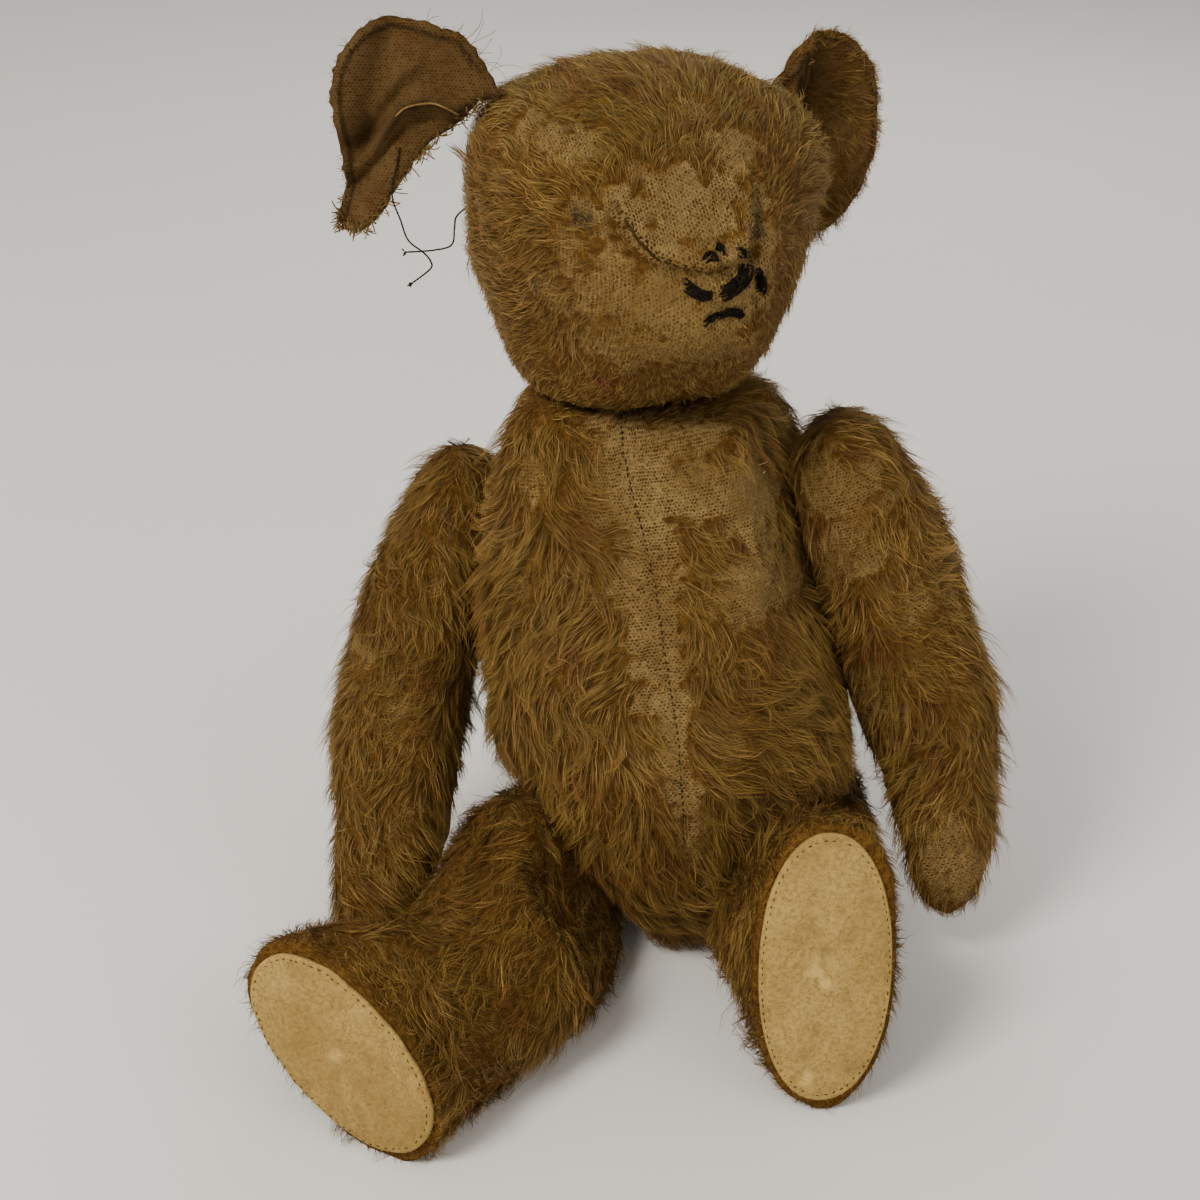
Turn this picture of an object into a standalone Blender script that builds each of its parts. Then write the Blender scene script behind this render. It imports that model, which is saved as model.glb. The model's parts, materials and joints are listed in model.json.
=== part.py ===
"""A worn mohair teddy bear of about 1910, seated.

Mohair panels and felt pads are sewn over firm wood-wool stuffing. The head and the four limbs turn on
disc joints: a board disc and a steel washer on each side, held by one cotter pin through both covers.
Lengths in the tables are millimetres, scaled by MM. The bear faces -Y, so its own right is -X.
"""
import math

import bmesh
import bpy
import numpy as np
from mathutils import Matrix, Vector
from mathutils.bvhtree import BVHTree

MM = 0.001

# How the bear sits.
SEAT = Vector((23.4, 31.9, 0.0)) * MM  # middle of the seat, from the middle of the whole bear's footprint
TORSO_LEAN = 9.5  # degrees, to the bear's own right
TORSO_BACK = 4.5  # degrees, backwards

# Cloth, felt and the room left between touching pieces.
CLOTH = 1.4 * MM
FELT = 1.8 * MM
GAP = 0.3 * MM

# Joint hardware, in the order it is stacked from the cover inwards.
DISC_THICK = 2.2 * MM
WASHER_RADIUS = 6.0 * MM
WASHER_THICK = 0.8 * MM
PIN_RADIUS = 1.2 * MM
PIN_WIRE = 0.8 * MM
PIN_EYE_RADIUS = 2.4 * MM
PIN_HOLE = 1.6 * MM
POCKET_RADIUS = 7.0 * MM
POCKET_DEPTH = 13.0 * MM

# Outlines: (along, offset, half_depth, half_width) at even steps of a piece's length.
# Torso: up from the seat, backwards from the middle.
TORSO = (
    (-7, -4, 34, 34),
    (32, -6, 43, 48),
    (71, -6, 46, 52),
    (110, -2, 43, 53),
    (149, 3, 39, 51),
    (188, 6, 32, 38),
)
# Head: forward from the neck pin, up from the neck plane.
HEAD = (
    (-45, 42, 40, 41),
    (-20, 42, 49, 49),
    (6, 41.5, 49.5, 50),
    (32, 37, 39, 39),
    (58, 31, 26, 23),
)
# Limbs: down the limb from its pin, forward in the plane of the swing.
ARM = (
    (-19, 0, 20, 15),
    (11, -3, 23, 17),
    (41, -5, 22.5, 18),
    (71, 0, 19, 17),
    (101, 8, 15.5, 15),
    (131, 20, 13.5, 12.5),
)
LEG = (
    (-26, 0, 23, 16),
    (9, 0, 26.5, 18.5),
    (43, 0, 25, 19),
    (78, 1, 23, 18.5),
    (113, 14, 40, 18.5),
    (148, 17, 42, 18),
)
ARM_CENTRE = 11.5  # from the shoulder plane to the middle of the arm's thickness
LEG_CENTRE = 13.0
LEG_SPLAY = 0.09  # the leg runs outwards from its joint plane by this slope
WRIST_AT = 84  # the felt paw pad starts here
SOLE_TILT = 12  # degrees, toe towards the body
SOLE = 112  # the foot pad closes the leg this far down from its pin
HAUNCH_TOP = 28.5  # the torso is hollowed over the thigh up to here from the hip pin
HAUNCH_BACK = 31.0

# Ears, in the plane of the cloth (across, up). The torn one hangs by its corner at the origin; the other
# stands out from the head about its middle, and its first points are the sewn edge.
TORN_EAR = (
    (0.0, 0.0), (-5.3, -1.4), (-9.3, -5.6), (-18.4, -12.4), (-22.3, -17.7), (-26.8, -23.8), (-31.3, -31.7),
    (-37.3, -35.7), (-42.3, -33.1), (-41.6, -29.0), (-40.6, -21.1), (-42.8, -10.8), (-43.8, -0.6),
    (-41.1, 10.0), (-30.8, 18.7), (-16.3, 16.2), (-8.5, 13.0),
)
TORN_EAR_MIDDLE = (-30, 1)
TORN_EAR_TILT = 10  # degrees, its top back from upright
STANDING_EAR = (
    (-2, 16), (-2, 9), (-2, 1), (-2, -7), (-2, -14), (-2, -20), (6, -27), (15, -30), (26, -26), (33, -16),
    (36, -5), (36, 6), (32, 18), (24, 26), (13, 27), (4, 22),
)
STANDING_EAR_MIDDLE = (18, 0)
EAR_CLOTH = 1.2 * MM

# Embroidery left on the face, as paths (across, up from the neck plane) and yarn radius.
YARN = {
    "nose_yarn_bridge": (((-5.0, 53.0), (-2.0, 53.4), (1.0, 53.6), (4.0, 53.0)), 0.6),
    "nose_yarn_left": (((-10.0, 45.8), (-8.0, 44.6), (-5.8, 44.0)), 1.0),
    "nose_yarn_right": (((-3.6, 45.4), (-1.0, 46.4), (2.0, 46.6), (5.0, 47.4)), 1.1),
    "nose_yarn_side": (((7.6, 47.0), (8.8, 44.0), (8.6, 40.6)), 0.8),
    "mouth_yarn": (((-7.2, 36.6), (-5.2, 38.4), (-3.0, 39.6), (-0.4, 38.4), (2.4, 35.8)), 0.6),
}
THREAD_RADIUS = 0.3 * MM

# How far slack stuffing has let each foot go, from SLUMP_FROM down the leg to its sole: the turn of the
# foot outwards about the leg in degrees, and its drift away from the body.
SLUMP = {"right": (25, 0), "left": (-7, 0)}
SLUMP_FROM = 48

# Joints: where each pin leaves the torso (in the torso's own axes), which way it points (world), which
# way the limb or face points at rest (world), and the radius of its board discs.
JOINTS = {
    "neck": ((0, 5, 166), (-0.03, 0.0, 1.0), (0.42, -0.91, 0.0), 19),
    "shoulder_right": ((-44, 5, 129), (-0.97, 0.20, 0.12), (-0.14, -0.33, -0.93), 9.5),
    "shoulder_left": ((44.5, 3, 129), (0.86, -0.35, 0.36), (0.47, -0.19, -0.86), 9.5),
    "hip_right": ((-25, -21, 36.6), (-0.81, 0.30, -0.50), (-0.36, -0.93, -0.02), 12),
    "hip_left": ((15, 15, 28.9), (0.97, 0.03, -0.20), (-0.08, -1.0, 0.02), 12),
}


# ---------------------------------------------------------------- materials

def material(name, colour, roughness, metallic=0.0):
    made = bpy.data.materials.new(name)
    made.use_nodes = True
    shader = made.node_tree.nodes["Principled BSDF"]
    shader.inputs["Base Color"].default_value = (*colour, 1.0)
    shader.inputs["Roughness"].default_value = roughness
    shader.inputs["Metallic"].default_value = metallic
    return made


# ---------------------------------------------------------------- shapes

def mesh_object(name, points, faces, surface=None):
    """A mesh object with its faces pointing out."""
    mesh = bpy.data.meshes.new(name)
    mesh.from_pydata([tuple(p) for p in points], [], faces)
    form = bmesh.new()
    form.from_mesh(mesh)
    bmesh.ops.recalc_face_normals(form, faces=form.faces)
    form.to_mesh(mesh)
    form.free()
    made = bpy.data.objects.new(name, mesh)
    bpy.context.scene.collection.objects.link(made)
    if surface:
        mesh.materials.append(surface)
    return made


def copy_of(made, name):
    twin = made.copy()
    twin.data = made.data.copy()
    twin.name = name
    bpy.context.scene.collection.objects.link(twin)
    return twin


def discard(made):
    bpy.data.objects.remove(made, do_unlink=True)


def boolean(target, cutter, operation):
    """Applies one exact Boolean and removes the cutter."""
    step = target.modifiers.new(operation.lower(), "BOOLEAN")
    step.operation = operation
    step.solver = "EXACT"
    step.object = cutter
    bpy.context.view_layer.update()
    graph = bpy.context.evaluated_depsgraph_get()
    mesh = bpy.data.meshes.new_from_object(target.evaluated_get(graph))
    target.modifiers.clear()
    target.data = mesh
    discard(cutter)
    return target


def catmull_rom(rows, t):
    """The value of evenly spaced rows at t from 0 to 1."""
    last = len(rows) - 1
    at = min(t, 1 - 1e-9) * last
    k = int(at)
    f = at - k
    a, b, c, d = (rows[min(max(k + n, 0), last)] for n in (-1, 0, 1, 2))
    return 0.5 * (2 * b + (c - a) * f + (2 * a - 5 * b + 4 * c - d) * f**2 + (3 * b - a - 3 * c + d) * f**3)


class Form:
    """A round-ended stuffed form about a spine, of elliptical stations.

    axes holds the directions of along, offset and across. The powers say how bluntly the near end, the
    far end and the sections are rounded.
    """

    def __init__(self, stations, axes, centre, near_power=2.6, far_power=2.6, section_power=2.4):
        self.rows = np.array(stations, float) * MM
        self.along, self.offset, self.across = (Vector(a) for a in axes)
        self.centre = centre
        self.near_power, self.far_power = near_power, far_power
        self.section_power = section_power

    def spine(self, t):
        here = catmull_rom(self.rows, min(max(t, 0.0), 1.0))
        return self.centre + self.along * here[0] + self.offset * here[1]

    def section(self, t):
        """The spine point at t and the two axes of the section there."""
        run = (self.spine(t + 0.02) - self.spine(t - 0.02)).normalized()
        depth = (self.offset - run * run.dot(self.offset)).normalized()
        return self.spine(t), depth, run.cross(depth)

    def build(self, name, sides, rings, inset=0.0):
        points = []
        for k in range(rings + 1):
            t = 0.5 - 0.5 * math.cos(math.pi * k / rings)
            spine, depth_axis, width_axis = self.section(t)
            if k in (0, rings):
                points.append(spine)
                continue
            power = self.near_power if t < 0.5 else self.far_power
            closing = math.sqrt(1 - abs(2 * t - 1) ** power)
            depth, width = catmull_rom(self.rows, t)[2:4] * closing
            for n in range(sides):
                turn = 2 * math.pi * (n + 0.5) / sides
                c, s = math.cos(turn), math.sin(turn)
                c, s = (math.copysign(abs(v) ** (2 / self.section_power), v) for v in (c, s))
                points.append(spine + depth_axis * depth * s + width_axis * width * c)
        faces = []
        for n in range(sides):
            m = (n + 1) % sides
            faces.append((0, 1 + n, 1 + m))
            for k in range(rings - 2):
                low, high = 1 + k * sides, 1 + (k + 1) * sides
                faces.append((low + n, high + n, high + m, low + m))
            low = 1 + (rings - 2) * sides
            faces.append((low + n, len(points) - 1, low + m))
        made = mesh_object(name, points, faces)
        draw_in(made, inset)
        return made


def draw_in(made, distance):
    """Moves every face of a closed shape inwards by a distance."""
    form = bmesh.new()
    form.from_mesh(made.data)
    form.normal_update()
    moved = [v.co - v.normal * distance * v.calc_shell_factor() for v in form.verts]
    for v, place_now in zip(form.verts, moved):
        v.co = place_now
    form.to_mesh(made.data)
    form.free()


def clip(made, point, away):
    """Cuts off what lies beyond a plane, on the side that away points to, and closes the cut."""
    form = bmesh.new()
    form.from_mesh(made.data)
    geometry = form.verts[:] + form.edges[:] + form.faces[:]
    bmesh.ops.bisect_plane(form, geom=geometry, plane_co=point, plane_no=away, clear_outer=True)
    bmesh.ops.holes_fill(form, edges=[e for e in form.edges if e.is_boundary])
    bmesh.ops.recalc_face_normals(form, faces=form.faces)
    form.to_mesh(made.data)
    form.free()
    return made


def turned(name, profile, sides, surface=None):
    """Turns a closed (height, radius) outline about Z. Radius 0 closes the shape on its axis."""
    points, rings = [], []
    for height, radius in profile:
        if radius == 0:
            rings.append([len(points)])
            points.append((0, 0, height))
            continue
        rings.append(list(range(len(points), len(points) + sides)))
        for n in range(sides):
            turn = 2 * math.pi * (n + 0.5) / sides
            points.append((radius * math.cos(turn), radius * math.sin(turn), height))
    closed = profile[0][1] != 0
    pairs = list(zip(rings, rings[1:] + rings[:1] if closed else rings[1:]))
    faces = []
    for low, high in pairs:
        for n in range(sides):
            m = (n + 1) % sides
            corners = [low[n % len(low)], low[m % len(low)], high[m % len(high)], high[n % len(high)]]
            faces.append(tuple(dict.fromkeys(corners)))
    return mesh_object(name, points, faces, surface)


def ring(name, radius, hole, low, high, sides, surface=None):
    return turned(name, ((low, hole), (low, radius), (high, radius), (high, hole)), sides, surface)


def rod(name, path, radius, sides=8, surface=None):
    """A round bar along a short path, with flat ends."""
    path = [Vector(p) for p in path]
    points = []
    for k, here in enumerate(path):
        tangent = (path[min(k + 1, len(path) - 1)] - path[max(k - 1, 0)]).normalized()
        if k == 0:
            side = tangent.orthogonal().normalized()
        side = (side - tangent * side.dot(tangent)).normalized()
        other = tangent.cross(side)
        for n in range(sides):
            turn = 2 * math.pi * n / sides
            points.append(here + side * radius * math.cos(turn) + other * radius * math.sin(turn))
    faces = [tuple(range(sides)), tuple(range(len(points) - sides, len(points)))]
    for k in range(len(path) - 1):
        for n in range(sides):
            m = (n + 1) % sides
            low, high = k * sides, (k + 1) * sides
            faces.append((low + n, high + n, high + m, low + m))
    return mesh_object(name, points, faces, surface)


# ---------------------------------------------------------------- frames

def frame_of(origin, out, along):
    """Axes with Z along a joint's pin and -Y along the limb, or along the face."""
    z = Vector(out).normalized()
    y = -(Vector(along) - z * Vector(along).dot(z)).normalized()
    x = y.cross(z)
    return Matrix.Translation(origin) @ Matrix((x, y, z)).transposed().to_4x4()


def empty(name, matrix):
    made = bpy.data.objects.new(name, None)
    made.empty_display_size = 0.02
    made.matrix_world = matrix
    bpy.context.scene.collection.objects.link(made)
    return made


LEAN = Matrix.Rotation(math.radians(-TORSO_LEAN), 4, "Y") @ Matrix.Rotation(math.radians(-TORSO_BACK), 4, "X")
TORSO_FRAME = Matrix.Translation(SEAT) @ LEAN


def joint_frame(joint):
    at, out, along, _ = JOINTS[joint]
    return frame_of(TORSO_FRAME @ (Vector(at) * MM), out, along)


def in_torso(joint):
    """A joint's frame in the torso's own axes."""
    return TORSO_FRAME.inverted() @ joint_frame(joint)


# ---------------------------------------------------------------- soft pieces

TORSO_BODY = Form(TORSO, ((0, 0, 1), (0, 1, 0), (1, 0, 0)), Vector(), 4.0, 3.2)
HEAD_BODY = Form(HEAD, ((0, -1, 0), (0, 0, 1), (1, 0, 0)), Vector(), 2.4, 2.3, 2.8)


def front_sign(side):
    """+1 where a limb's front is at +X of its joint frame."""
    return {"right": 1, "left": -1}[side]


def arm_body(side):
    axes = ((0, -1, 0), (front_sign(side), 0, 0), (0, 0, 1))
    return Form(ARM, axes, Vector((0, 0, ARM_CENTRE * MM)), 5.0)


def leg_body(side):
    axes = ((0, -1, LEG_SPLAY), (front_sign(side), 0, 0), (0, 0, 1))
    return Form(LEG, axes, Vector((0, 0, LEG_CENTRE * MM)), 5.0, 9.0)


def slump(made, side):
    """Turns and drifts the lower leg about its own middle line."""
    turn, drift = SLUMP[side]
    for v in made.data.vertices:
        share = max(0.0, (-v.co.y / MM - SLUMP_FROM) / (SOLE - SLUMP_FROM))
        ease = share * share * (3 - 2 * share) if share < 1 else 1.0
        angle = math.radians(turn * ease) * front_sign(side)
        middle = LEG_CENTRE * MM - v.co.y * LEG_SPLAY
        x, z = v.co.x, v.co.z - middle
        v.co.x = x * math.cos(angle) - z * math.sin(angle)
        v.co.z = x * math.sin(angle) + z * math.cos(angle) + middle + drift * ease * MM
    return made


def haunch_room(side, inset):
    """The block of space beside the torso that a thigh turns in: beyond the hip plane and under its top."""
    front = front_sign(side)
    reach = 0.2
    low, high = -GAP / 2 - inset, reach
    top, back = HAUNCH_TOP * MM + inset, HAUNCH_BACK * MM + inset
    outline = ((top, back), (top, -reach), (-reach, -reach), (-reach, back))
    corners = [(x * front, y, z) for z in (low, high) for x, y in outline]
    faces = [(0, 1, 2, 3), (4, 5, 6, 7)] + [(n, (n + 1) % 4, (n + 1) % 4 + 4, n + 4) for n in range(4)]
    room = mesh_object("room", corners, faces)
    room.data.transform(in_torso(f"hip_{side}"))
    return room


def torso_form(name, inset):
    made = TORSO_BODY.build(name, 24, 12, inset)
    down = LEAN.inverted() @ Vector((0, 0, -1))
    clip(made, -down * inset, down)
    for joint in ("neck", "shoulder_right", "shoulder_left"):
        frame = in_torso(joint)
        out = frame.to_3x3() @ Vector((0, 0, 1))
        clip(made, frame.translation - out * (GAP / 2 + inset), out)
    for side in ("right", "left"):
        boolean(made, haunch_room(side, inset), "DIFFERENCE")
    return made


def head_form(name, inset):
    made = HEAD_BODY.build(name, 20, 12, inset)
    return clip(made, Vector((0, 0, GAP / 2 + inset)), Vector((0, 0, -1)))


def limb_form(name, body, inset):
    made = body.build(name, 16, 11, inset)
    return clip(made, Vector((0, 0, GAP / 2 + inset)), Vector((0, 0, -1)))


def panel(name, outer, inner, surface, cuts):
    """The cloth between two forms, inside the planes of cuts."""
    made = copy_of(outer, name)
    for point, away in cuts:
        clip(made, Vector(point), Vector(away))
    boolean(made, copy_of(inner, "hollow"), "DIFFERENCE")
    made.data.materials.clear()
    made.data.materials.append(surface)
    return made


def pin_bore(made, frame):
    """A round hole for a pin, through whatever cloth lies at the frame's origin."""
    reach = 6 * MM
    bore = turned("bore", ((-reach, 0), (-reach, PIN_HOLE), (reach, PIN_HOLE), (reach, 0)), 10)
    bore.data.transform(frame)
    return boolean(made, bore, "DIFFERENCE")


def disc_pocket(made, frame, radius, side):
    """Room in the stuffing for a joint's disc, washer and pin end; side is +1 away from the torso, or -1."""
    wide = radius + GAP
    shallow = GAP / 2 + CLOTH + 2 * GAP + DISC_THICK
    steps = ((-MM, 0), (-MM, wide), (shallow, wide), (shallow, POCKET_RADIUS), (POCKET_DEPTH, POCKET_RADIUS))
    pocket = turned("pocket", (*steps, (POCKET_DEPTH, 0)), 16)
    pocket.data.transform(frame @ Matrix.Diagonal((1, 1, side, 1)))
    if side < 0:
        pocket.data.flip_normals()
    return boolean(made, pocket, "DIFFERENCE")


def gusset_prism(grow):
    """The wedge of space that holds the head's centre strip, from the nose over the crown to the nape."""
    half_widths = ((-64, 4), (-54, 8), (-40, 20), (-12, 32), (26, 24), (52, 9))
    points, faces = [], []
    for y, half in half_widths:
        floor = 43 - 35 * (y + 64) / 116
        for x, z in ((-half, floor), (half, floor), (half, 110), (-half, 110)):
            points.append(((x + math.copysign(grow / MM, x)) * MM, y * MM, z * MM - (z < 110) * grow))
    for k in range(len(half_widths) - 1):
        for n in range(4):
            m = (n + 1) % 4
            faces.append((4 * k + n, 4 * k + m, 4 * k + 4 + m, 4 * k + 4 + n))
    faces += [(0, 1, 2, 3), tuple(len(points) - 4 + n for n in range(4))]
    return mesh_object("prism", points, faces)


def sheet(name, outline, centre, bend, low, high, surface):
    """A cloth layer in the XZ plane inside an outline, bent along Y and low to high thick."""
    middle = Vector(centre)
    rings, count = (1.0, 0.66, 0.33), len(outline)
    points, faces = [], []
    for level in (low, high):
        for scale in rings:
            for corner in outline:
                x, z = middle + (Vector(corner) - middle) * scale
                points.append((x * MM, bend(x, z) * MM + level, z * MM))
        points.append((middle.x * MM, bend(*middle) * MM + level, middle.y * MM))
    side = len(rings) * count + 1
    for start in (0, side):
        for n in range(count):
            m = (n + 1) % count
            for k in range(len(rings) - 1):
                outer, inner = start + k * count, start + (k + 1) * count
                faces.append((outer + n, outer + m, inner + m, inner + n))
            last = start + (len(rings) - 1) * count
            faces.append((last + n, last + m, start + side - 1))
    for n in range(count):
        m = (n + 1) % count
        faces.append((n, side + n, side + m, m))
    return mesh_object(name, points, faces, surface)


# ---------------------------------------------------------------- assembly

def stand_off(layers, skin, direction, gap):
    """Moves cloth layers of one outline off a skin along a direction, point by point, to clear it by a gap."""
    for stack in zip(*(layer.data.vertices for layer in layers)):
        for _ in range(60):
            lowest = gap
            for v in stack:
                near, normal, _, distance = skin.find_nearest(v.co)
                lowest = min(lowest, distance if (v.co - near).dot(normal) > 0 else -distance)
            if lowest >= gap:
                break
            for v in stack:
                v.co += direction * max(gap - lowest, 0.05 * MM)


def on_skin(skin, points, toward, height):
    """Where rays from points meet the skin, raised by a height."""
    found = []
    for point in points:
        place_there, normal, _, _ = skin.ray_cast(Vector(point) * MM, Vector(toward))
        found.append(place_there + normal * height)
    return found


def cord(name, points, radius, surface):
    """A round cord along a smooth curve through a few points."""
    rows = np.array([tuple(p) for p in points])
    length = sum((Vector(b) - Vector(a)).length for a, b in zip(rows, rows[1:]))
    count = math.ceil(length / (radius * 4))
    data = bpy.data.curves.new(name, "CURVE")
    data.dimensions = "3D"
    data.bevel_depth = radius
    data.bevel_resolution = 2
    data.use_fill_caps = True
    line = data.splines.new("POLY")
    line.points.add(count)
    for k, point in enumerate(line.points):
        point.co = (*catmull_rom(rows, k / count), 1.0)
    data.materials.append(surface)
    made = bpy.data.objects.new(name, data)
    bpy.context.scene.collection.objects.link(made)
    return made


def place(made, parent, matrix=None):
    made.parent = parent
    made.matrix_parent_inverse = Matrix()
    made.matrix_basis = matrix or Matrix()
    if made.type == "MESH":
        made.data.shade_smooth()
        made.data.set_sharp_from_angle(angle=math.radians(40))
    return made


def build_torso(parts, root):
    outer, inner = torso_form("outer", 0), torso_form("inner", CLOTH)
    for side, sign in (("right", -1), ("left", 1)):
        cuts = [((sign * GAP / 2, 0, 0), (-sign, 0, 0))]
        cover = panel(f"torso_cover_{side}", outer, inner, parts["mohair"], cuts)
        for joint in ("neck", f"shoulder_{side}", f"hip_{side}"):
            pin_bore(cover, in_torso(joint))
        place(cover, root)
    discard(outer)
    discard(inner)
    stuffing = torso_form("torso_stuffing", CLOTH + GAP)
    for joint, (_, _, _, radius) in JOINTS.items():
        disc_pocket(stuffing, in_torso(joint), radius * MM, -1)
    stuffing.data.materials.append(parts["wood_wool"])
    place(stuffing, root)


def build_head(parts, pivot):
    outer, inner = head_form("outer", 0), head_form("inner", CLOTH)
    skin = BVHTree.FromObject(outer, bpy.context.evaluated_depsgraph_get())
    gusset = boolean(copy_of(outer, "head_gusset"), gusset_prism(-GAP / 2), "INTERSECT")
    boolean(gusset, copy_of(inner, "hollow"), "DIFFERENCE")
    gusset.data.materials.clear()
    gusset.data.materials.append(parts["mohair"])
    place(gusset, pivot)
    for side, sign in (("right", -1), ("left", 1)):
        cheek = copy_of(outer, "half")
        boolean(cheek, gusset_prism(GAP / 2), "DIFFERENCE")
        cuts = [((sign * GAP / 2, 0, 0), (-sign, 0, 0))]
        cover = panel(f"head_side_{side}", cheek, inner, parts["mohair"], cuts)
        pin_bore(cover, Matrix())
        place(cover, pivot)
        discard(cheek)
    discard(outer)
    discard(inner)
    stuffing = head_form("head_stuffing", CLOTH + GAP)
    disc_pocket(stuffing, Matrix(), JOINTS["neck"][3] * MM, 1)
    stuffing.data.materials.append(parts["wood_wool"])
    place(stuffing, pivot)
    return skin


def torn_bend(x, z):
    """The hanging ear's creases: a deep fold down its middle, and its lower edge curled forward."""
    fold = 5.0 * math.exp(-((x + 33 - 0.25 * z) / 4.5) ** 2)
    return fold - 0.0035 * (x + 20) ** 2 - 0.004 * min(z, 0) ** 2


def standing_bend(x, z):
    """The standing ear's cup, hollow side forward."""
    return 5.0 * math.sin(math.pi * min(max(x, 0) / 30, 1)) - 0.006 * x * x - 0.006 * z * z


def torn_ear_frame(pivot_frame):
    """The plane of the hanging ear in the head's axes: level with the room, not with the head."""
    upright = Matrix.Rotation(math.radians(-TORN_EAR_TILT), 3, "X")
    turn = pivot_frame.to_3x3().inverted() @ upright
    return Matrix.Translation(Vector((-35.4, 8.0, 82.6)) * MM) @ turn.to_4x4()


def build_ears(parts, pivot, pivot_frame, skin):
    standing = frame_of(Vector((46, 6, 65)) * MM, (0, 0, 1), (0.2, -0.97, 0))
    looks = (
        ("right", TORN_EAR, TORN_EAR_MIDDLE, torn_bend, torn_ear_frame(pivot_frame)),
        ("left", STANDING_EAR, STANDING_EAR_MIDDLE, standing_bend, standing),
    )
    for side, outline, middle, bend, frame in looks:
        layers = []
        for layer, low in (("front", -GAP / 2 - EAR_CLOTH), ("back", GAP / 2)):
            ear = sheet(f"ear_{side}_{layer}", outline, middle, bend, low, low + EAR_CLOTH, parts["mohair"])
            ear.data.transform(frame)
            layers.append(place(ear, pivot))
        away = frame.to_3x3() @ Vector((-1 if side == "right" else 1, 0, 0))
        stand_off(layers, skin, away, 2.7 * GAP)
        if side == "right":
            torn_front = BVHTree.FromObject(layers[0], bpy.context.evaluated_depsgraph_get())
    return torn_front


def build_face(parts, pivot, skin):
    for name, (path, radius) in YARN.items():
        height = radius * MM + GAP
        points = on_skin(skin, [(x, -120, z) for x, z in path], (0, 1, 0), height)
        place(rod(name, points, radius * MM, 6, parts["yarn"]), pivot)


def build_threads(parts, pivot, pivot_frame, skin, torn_front):
    """Sewing threads left hanging where the ear came away: one from the ear, one from the head."""
    frame = torn_ear_frame(pivot_frame)
    hang = ((-27.8, -25.8), (-25.6, -32.6), (-23.5, -37.8), (-19.4, -40.9))
    hang += ((-17.5, -43.2), (-17.7, -45.2), (-22.9, -49.5))
    through = [frame @ Vector((x * MM, -40 * MM, z * MM)) for x, z in ((-26.0, -14.0), (-26.6, -18.0))]
    toward = frame.to_3x3() @ Vector((0, 1, 0))
    path = on_skin(torn_front, [p / MM for p in through], toward, THREAD_RADIUS + 1.5 * GAP)
    level = (frame.inverted() @ path[-1]).y
    path += [frame @ Vector((x * MM, level - MM, z * MM)) for x, z in hang]
    place(cord("thread_from_ear", path, THREAD_RADIUS, parts["yarn"]), pivot)
    along_skin = [(-90, y, z) for y, z in ((34, 49), (27, 48.5), (20, 48), (13, 47))]
    path = on_skin(skin, along_skin, (1, 0, 0), THREAD_RADIUS + 1.6 * GAP)
    path += [Vector(p) * MM for p in ((-50.0, 9.0, 44.0), (-55.0, 9.5, 43.0), (-62.0, 12.0, 42.6))]
    place(cord("thread_from_head", path, THREAD_RADIUS, parts["yarn"]), pivot)


def build_arm(side, parts, pivot):
    body = arm_body(side)
    outer, inner = limb_form("outer", body, 0), limb_form("inner", body, CLOTH)
    seam, wrist = ARM_CENTRE * MM, -WRIST_AT * MM
    away_side = ((0, 0, seam + GAP / 2), (0, 0, -1))
    near_side = ((0, 0, seam - GAP / 2), (0, 0, 1))
    above_wrist = ((0, wrist + GAP / 2, 0), (0, -1, 0))
    below_wrist = ((0, wrist - GAP / 2, 0), (0, 1, 0))
    place(panel(f"arm_outer_{side}", outer, inner, parts["mohair"], [away_side]), pivot)
    near = panel(f"arm_inner_{side}", outer, inner, parts["mohair"], [near_side, above_wrist])
    place(pin_bore(near, Matrix()), pivot)
    place(panel(f"paw_pad_{side}", outer, inner, parts["felt"], [near_side, below_wrist]), pivot)
    discard(outer)
    discard(inner)
    stuffing = limb_form(f"arm_stuffing_{side}", body, CLOTH + GAP)
    disc_pocket(stuffing, Matrix(), JOINTS[f"shoulder_{side}"][3] * MM, 1)
    stuffing.data.materials.append(parts["wood_wool"])
    place(stuffing, pivot)


def score(made, stations):
    """Adds edges across a leg at some distances down it, so that it can bend there."""
    form = bmesh.new()
    form.from_mesh(made.data)
    for along in stations:
        geometry = form.verts[:] + form.edges[:] + form.faces[:]
        bmesh.ops.bisect_plane(form, geom=geometry, plane_co=(0, -along * MM, 0), plane_no=(0, -1, 0))
    form.to_mesh(made.data)
    form.free()
    return made


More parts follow.
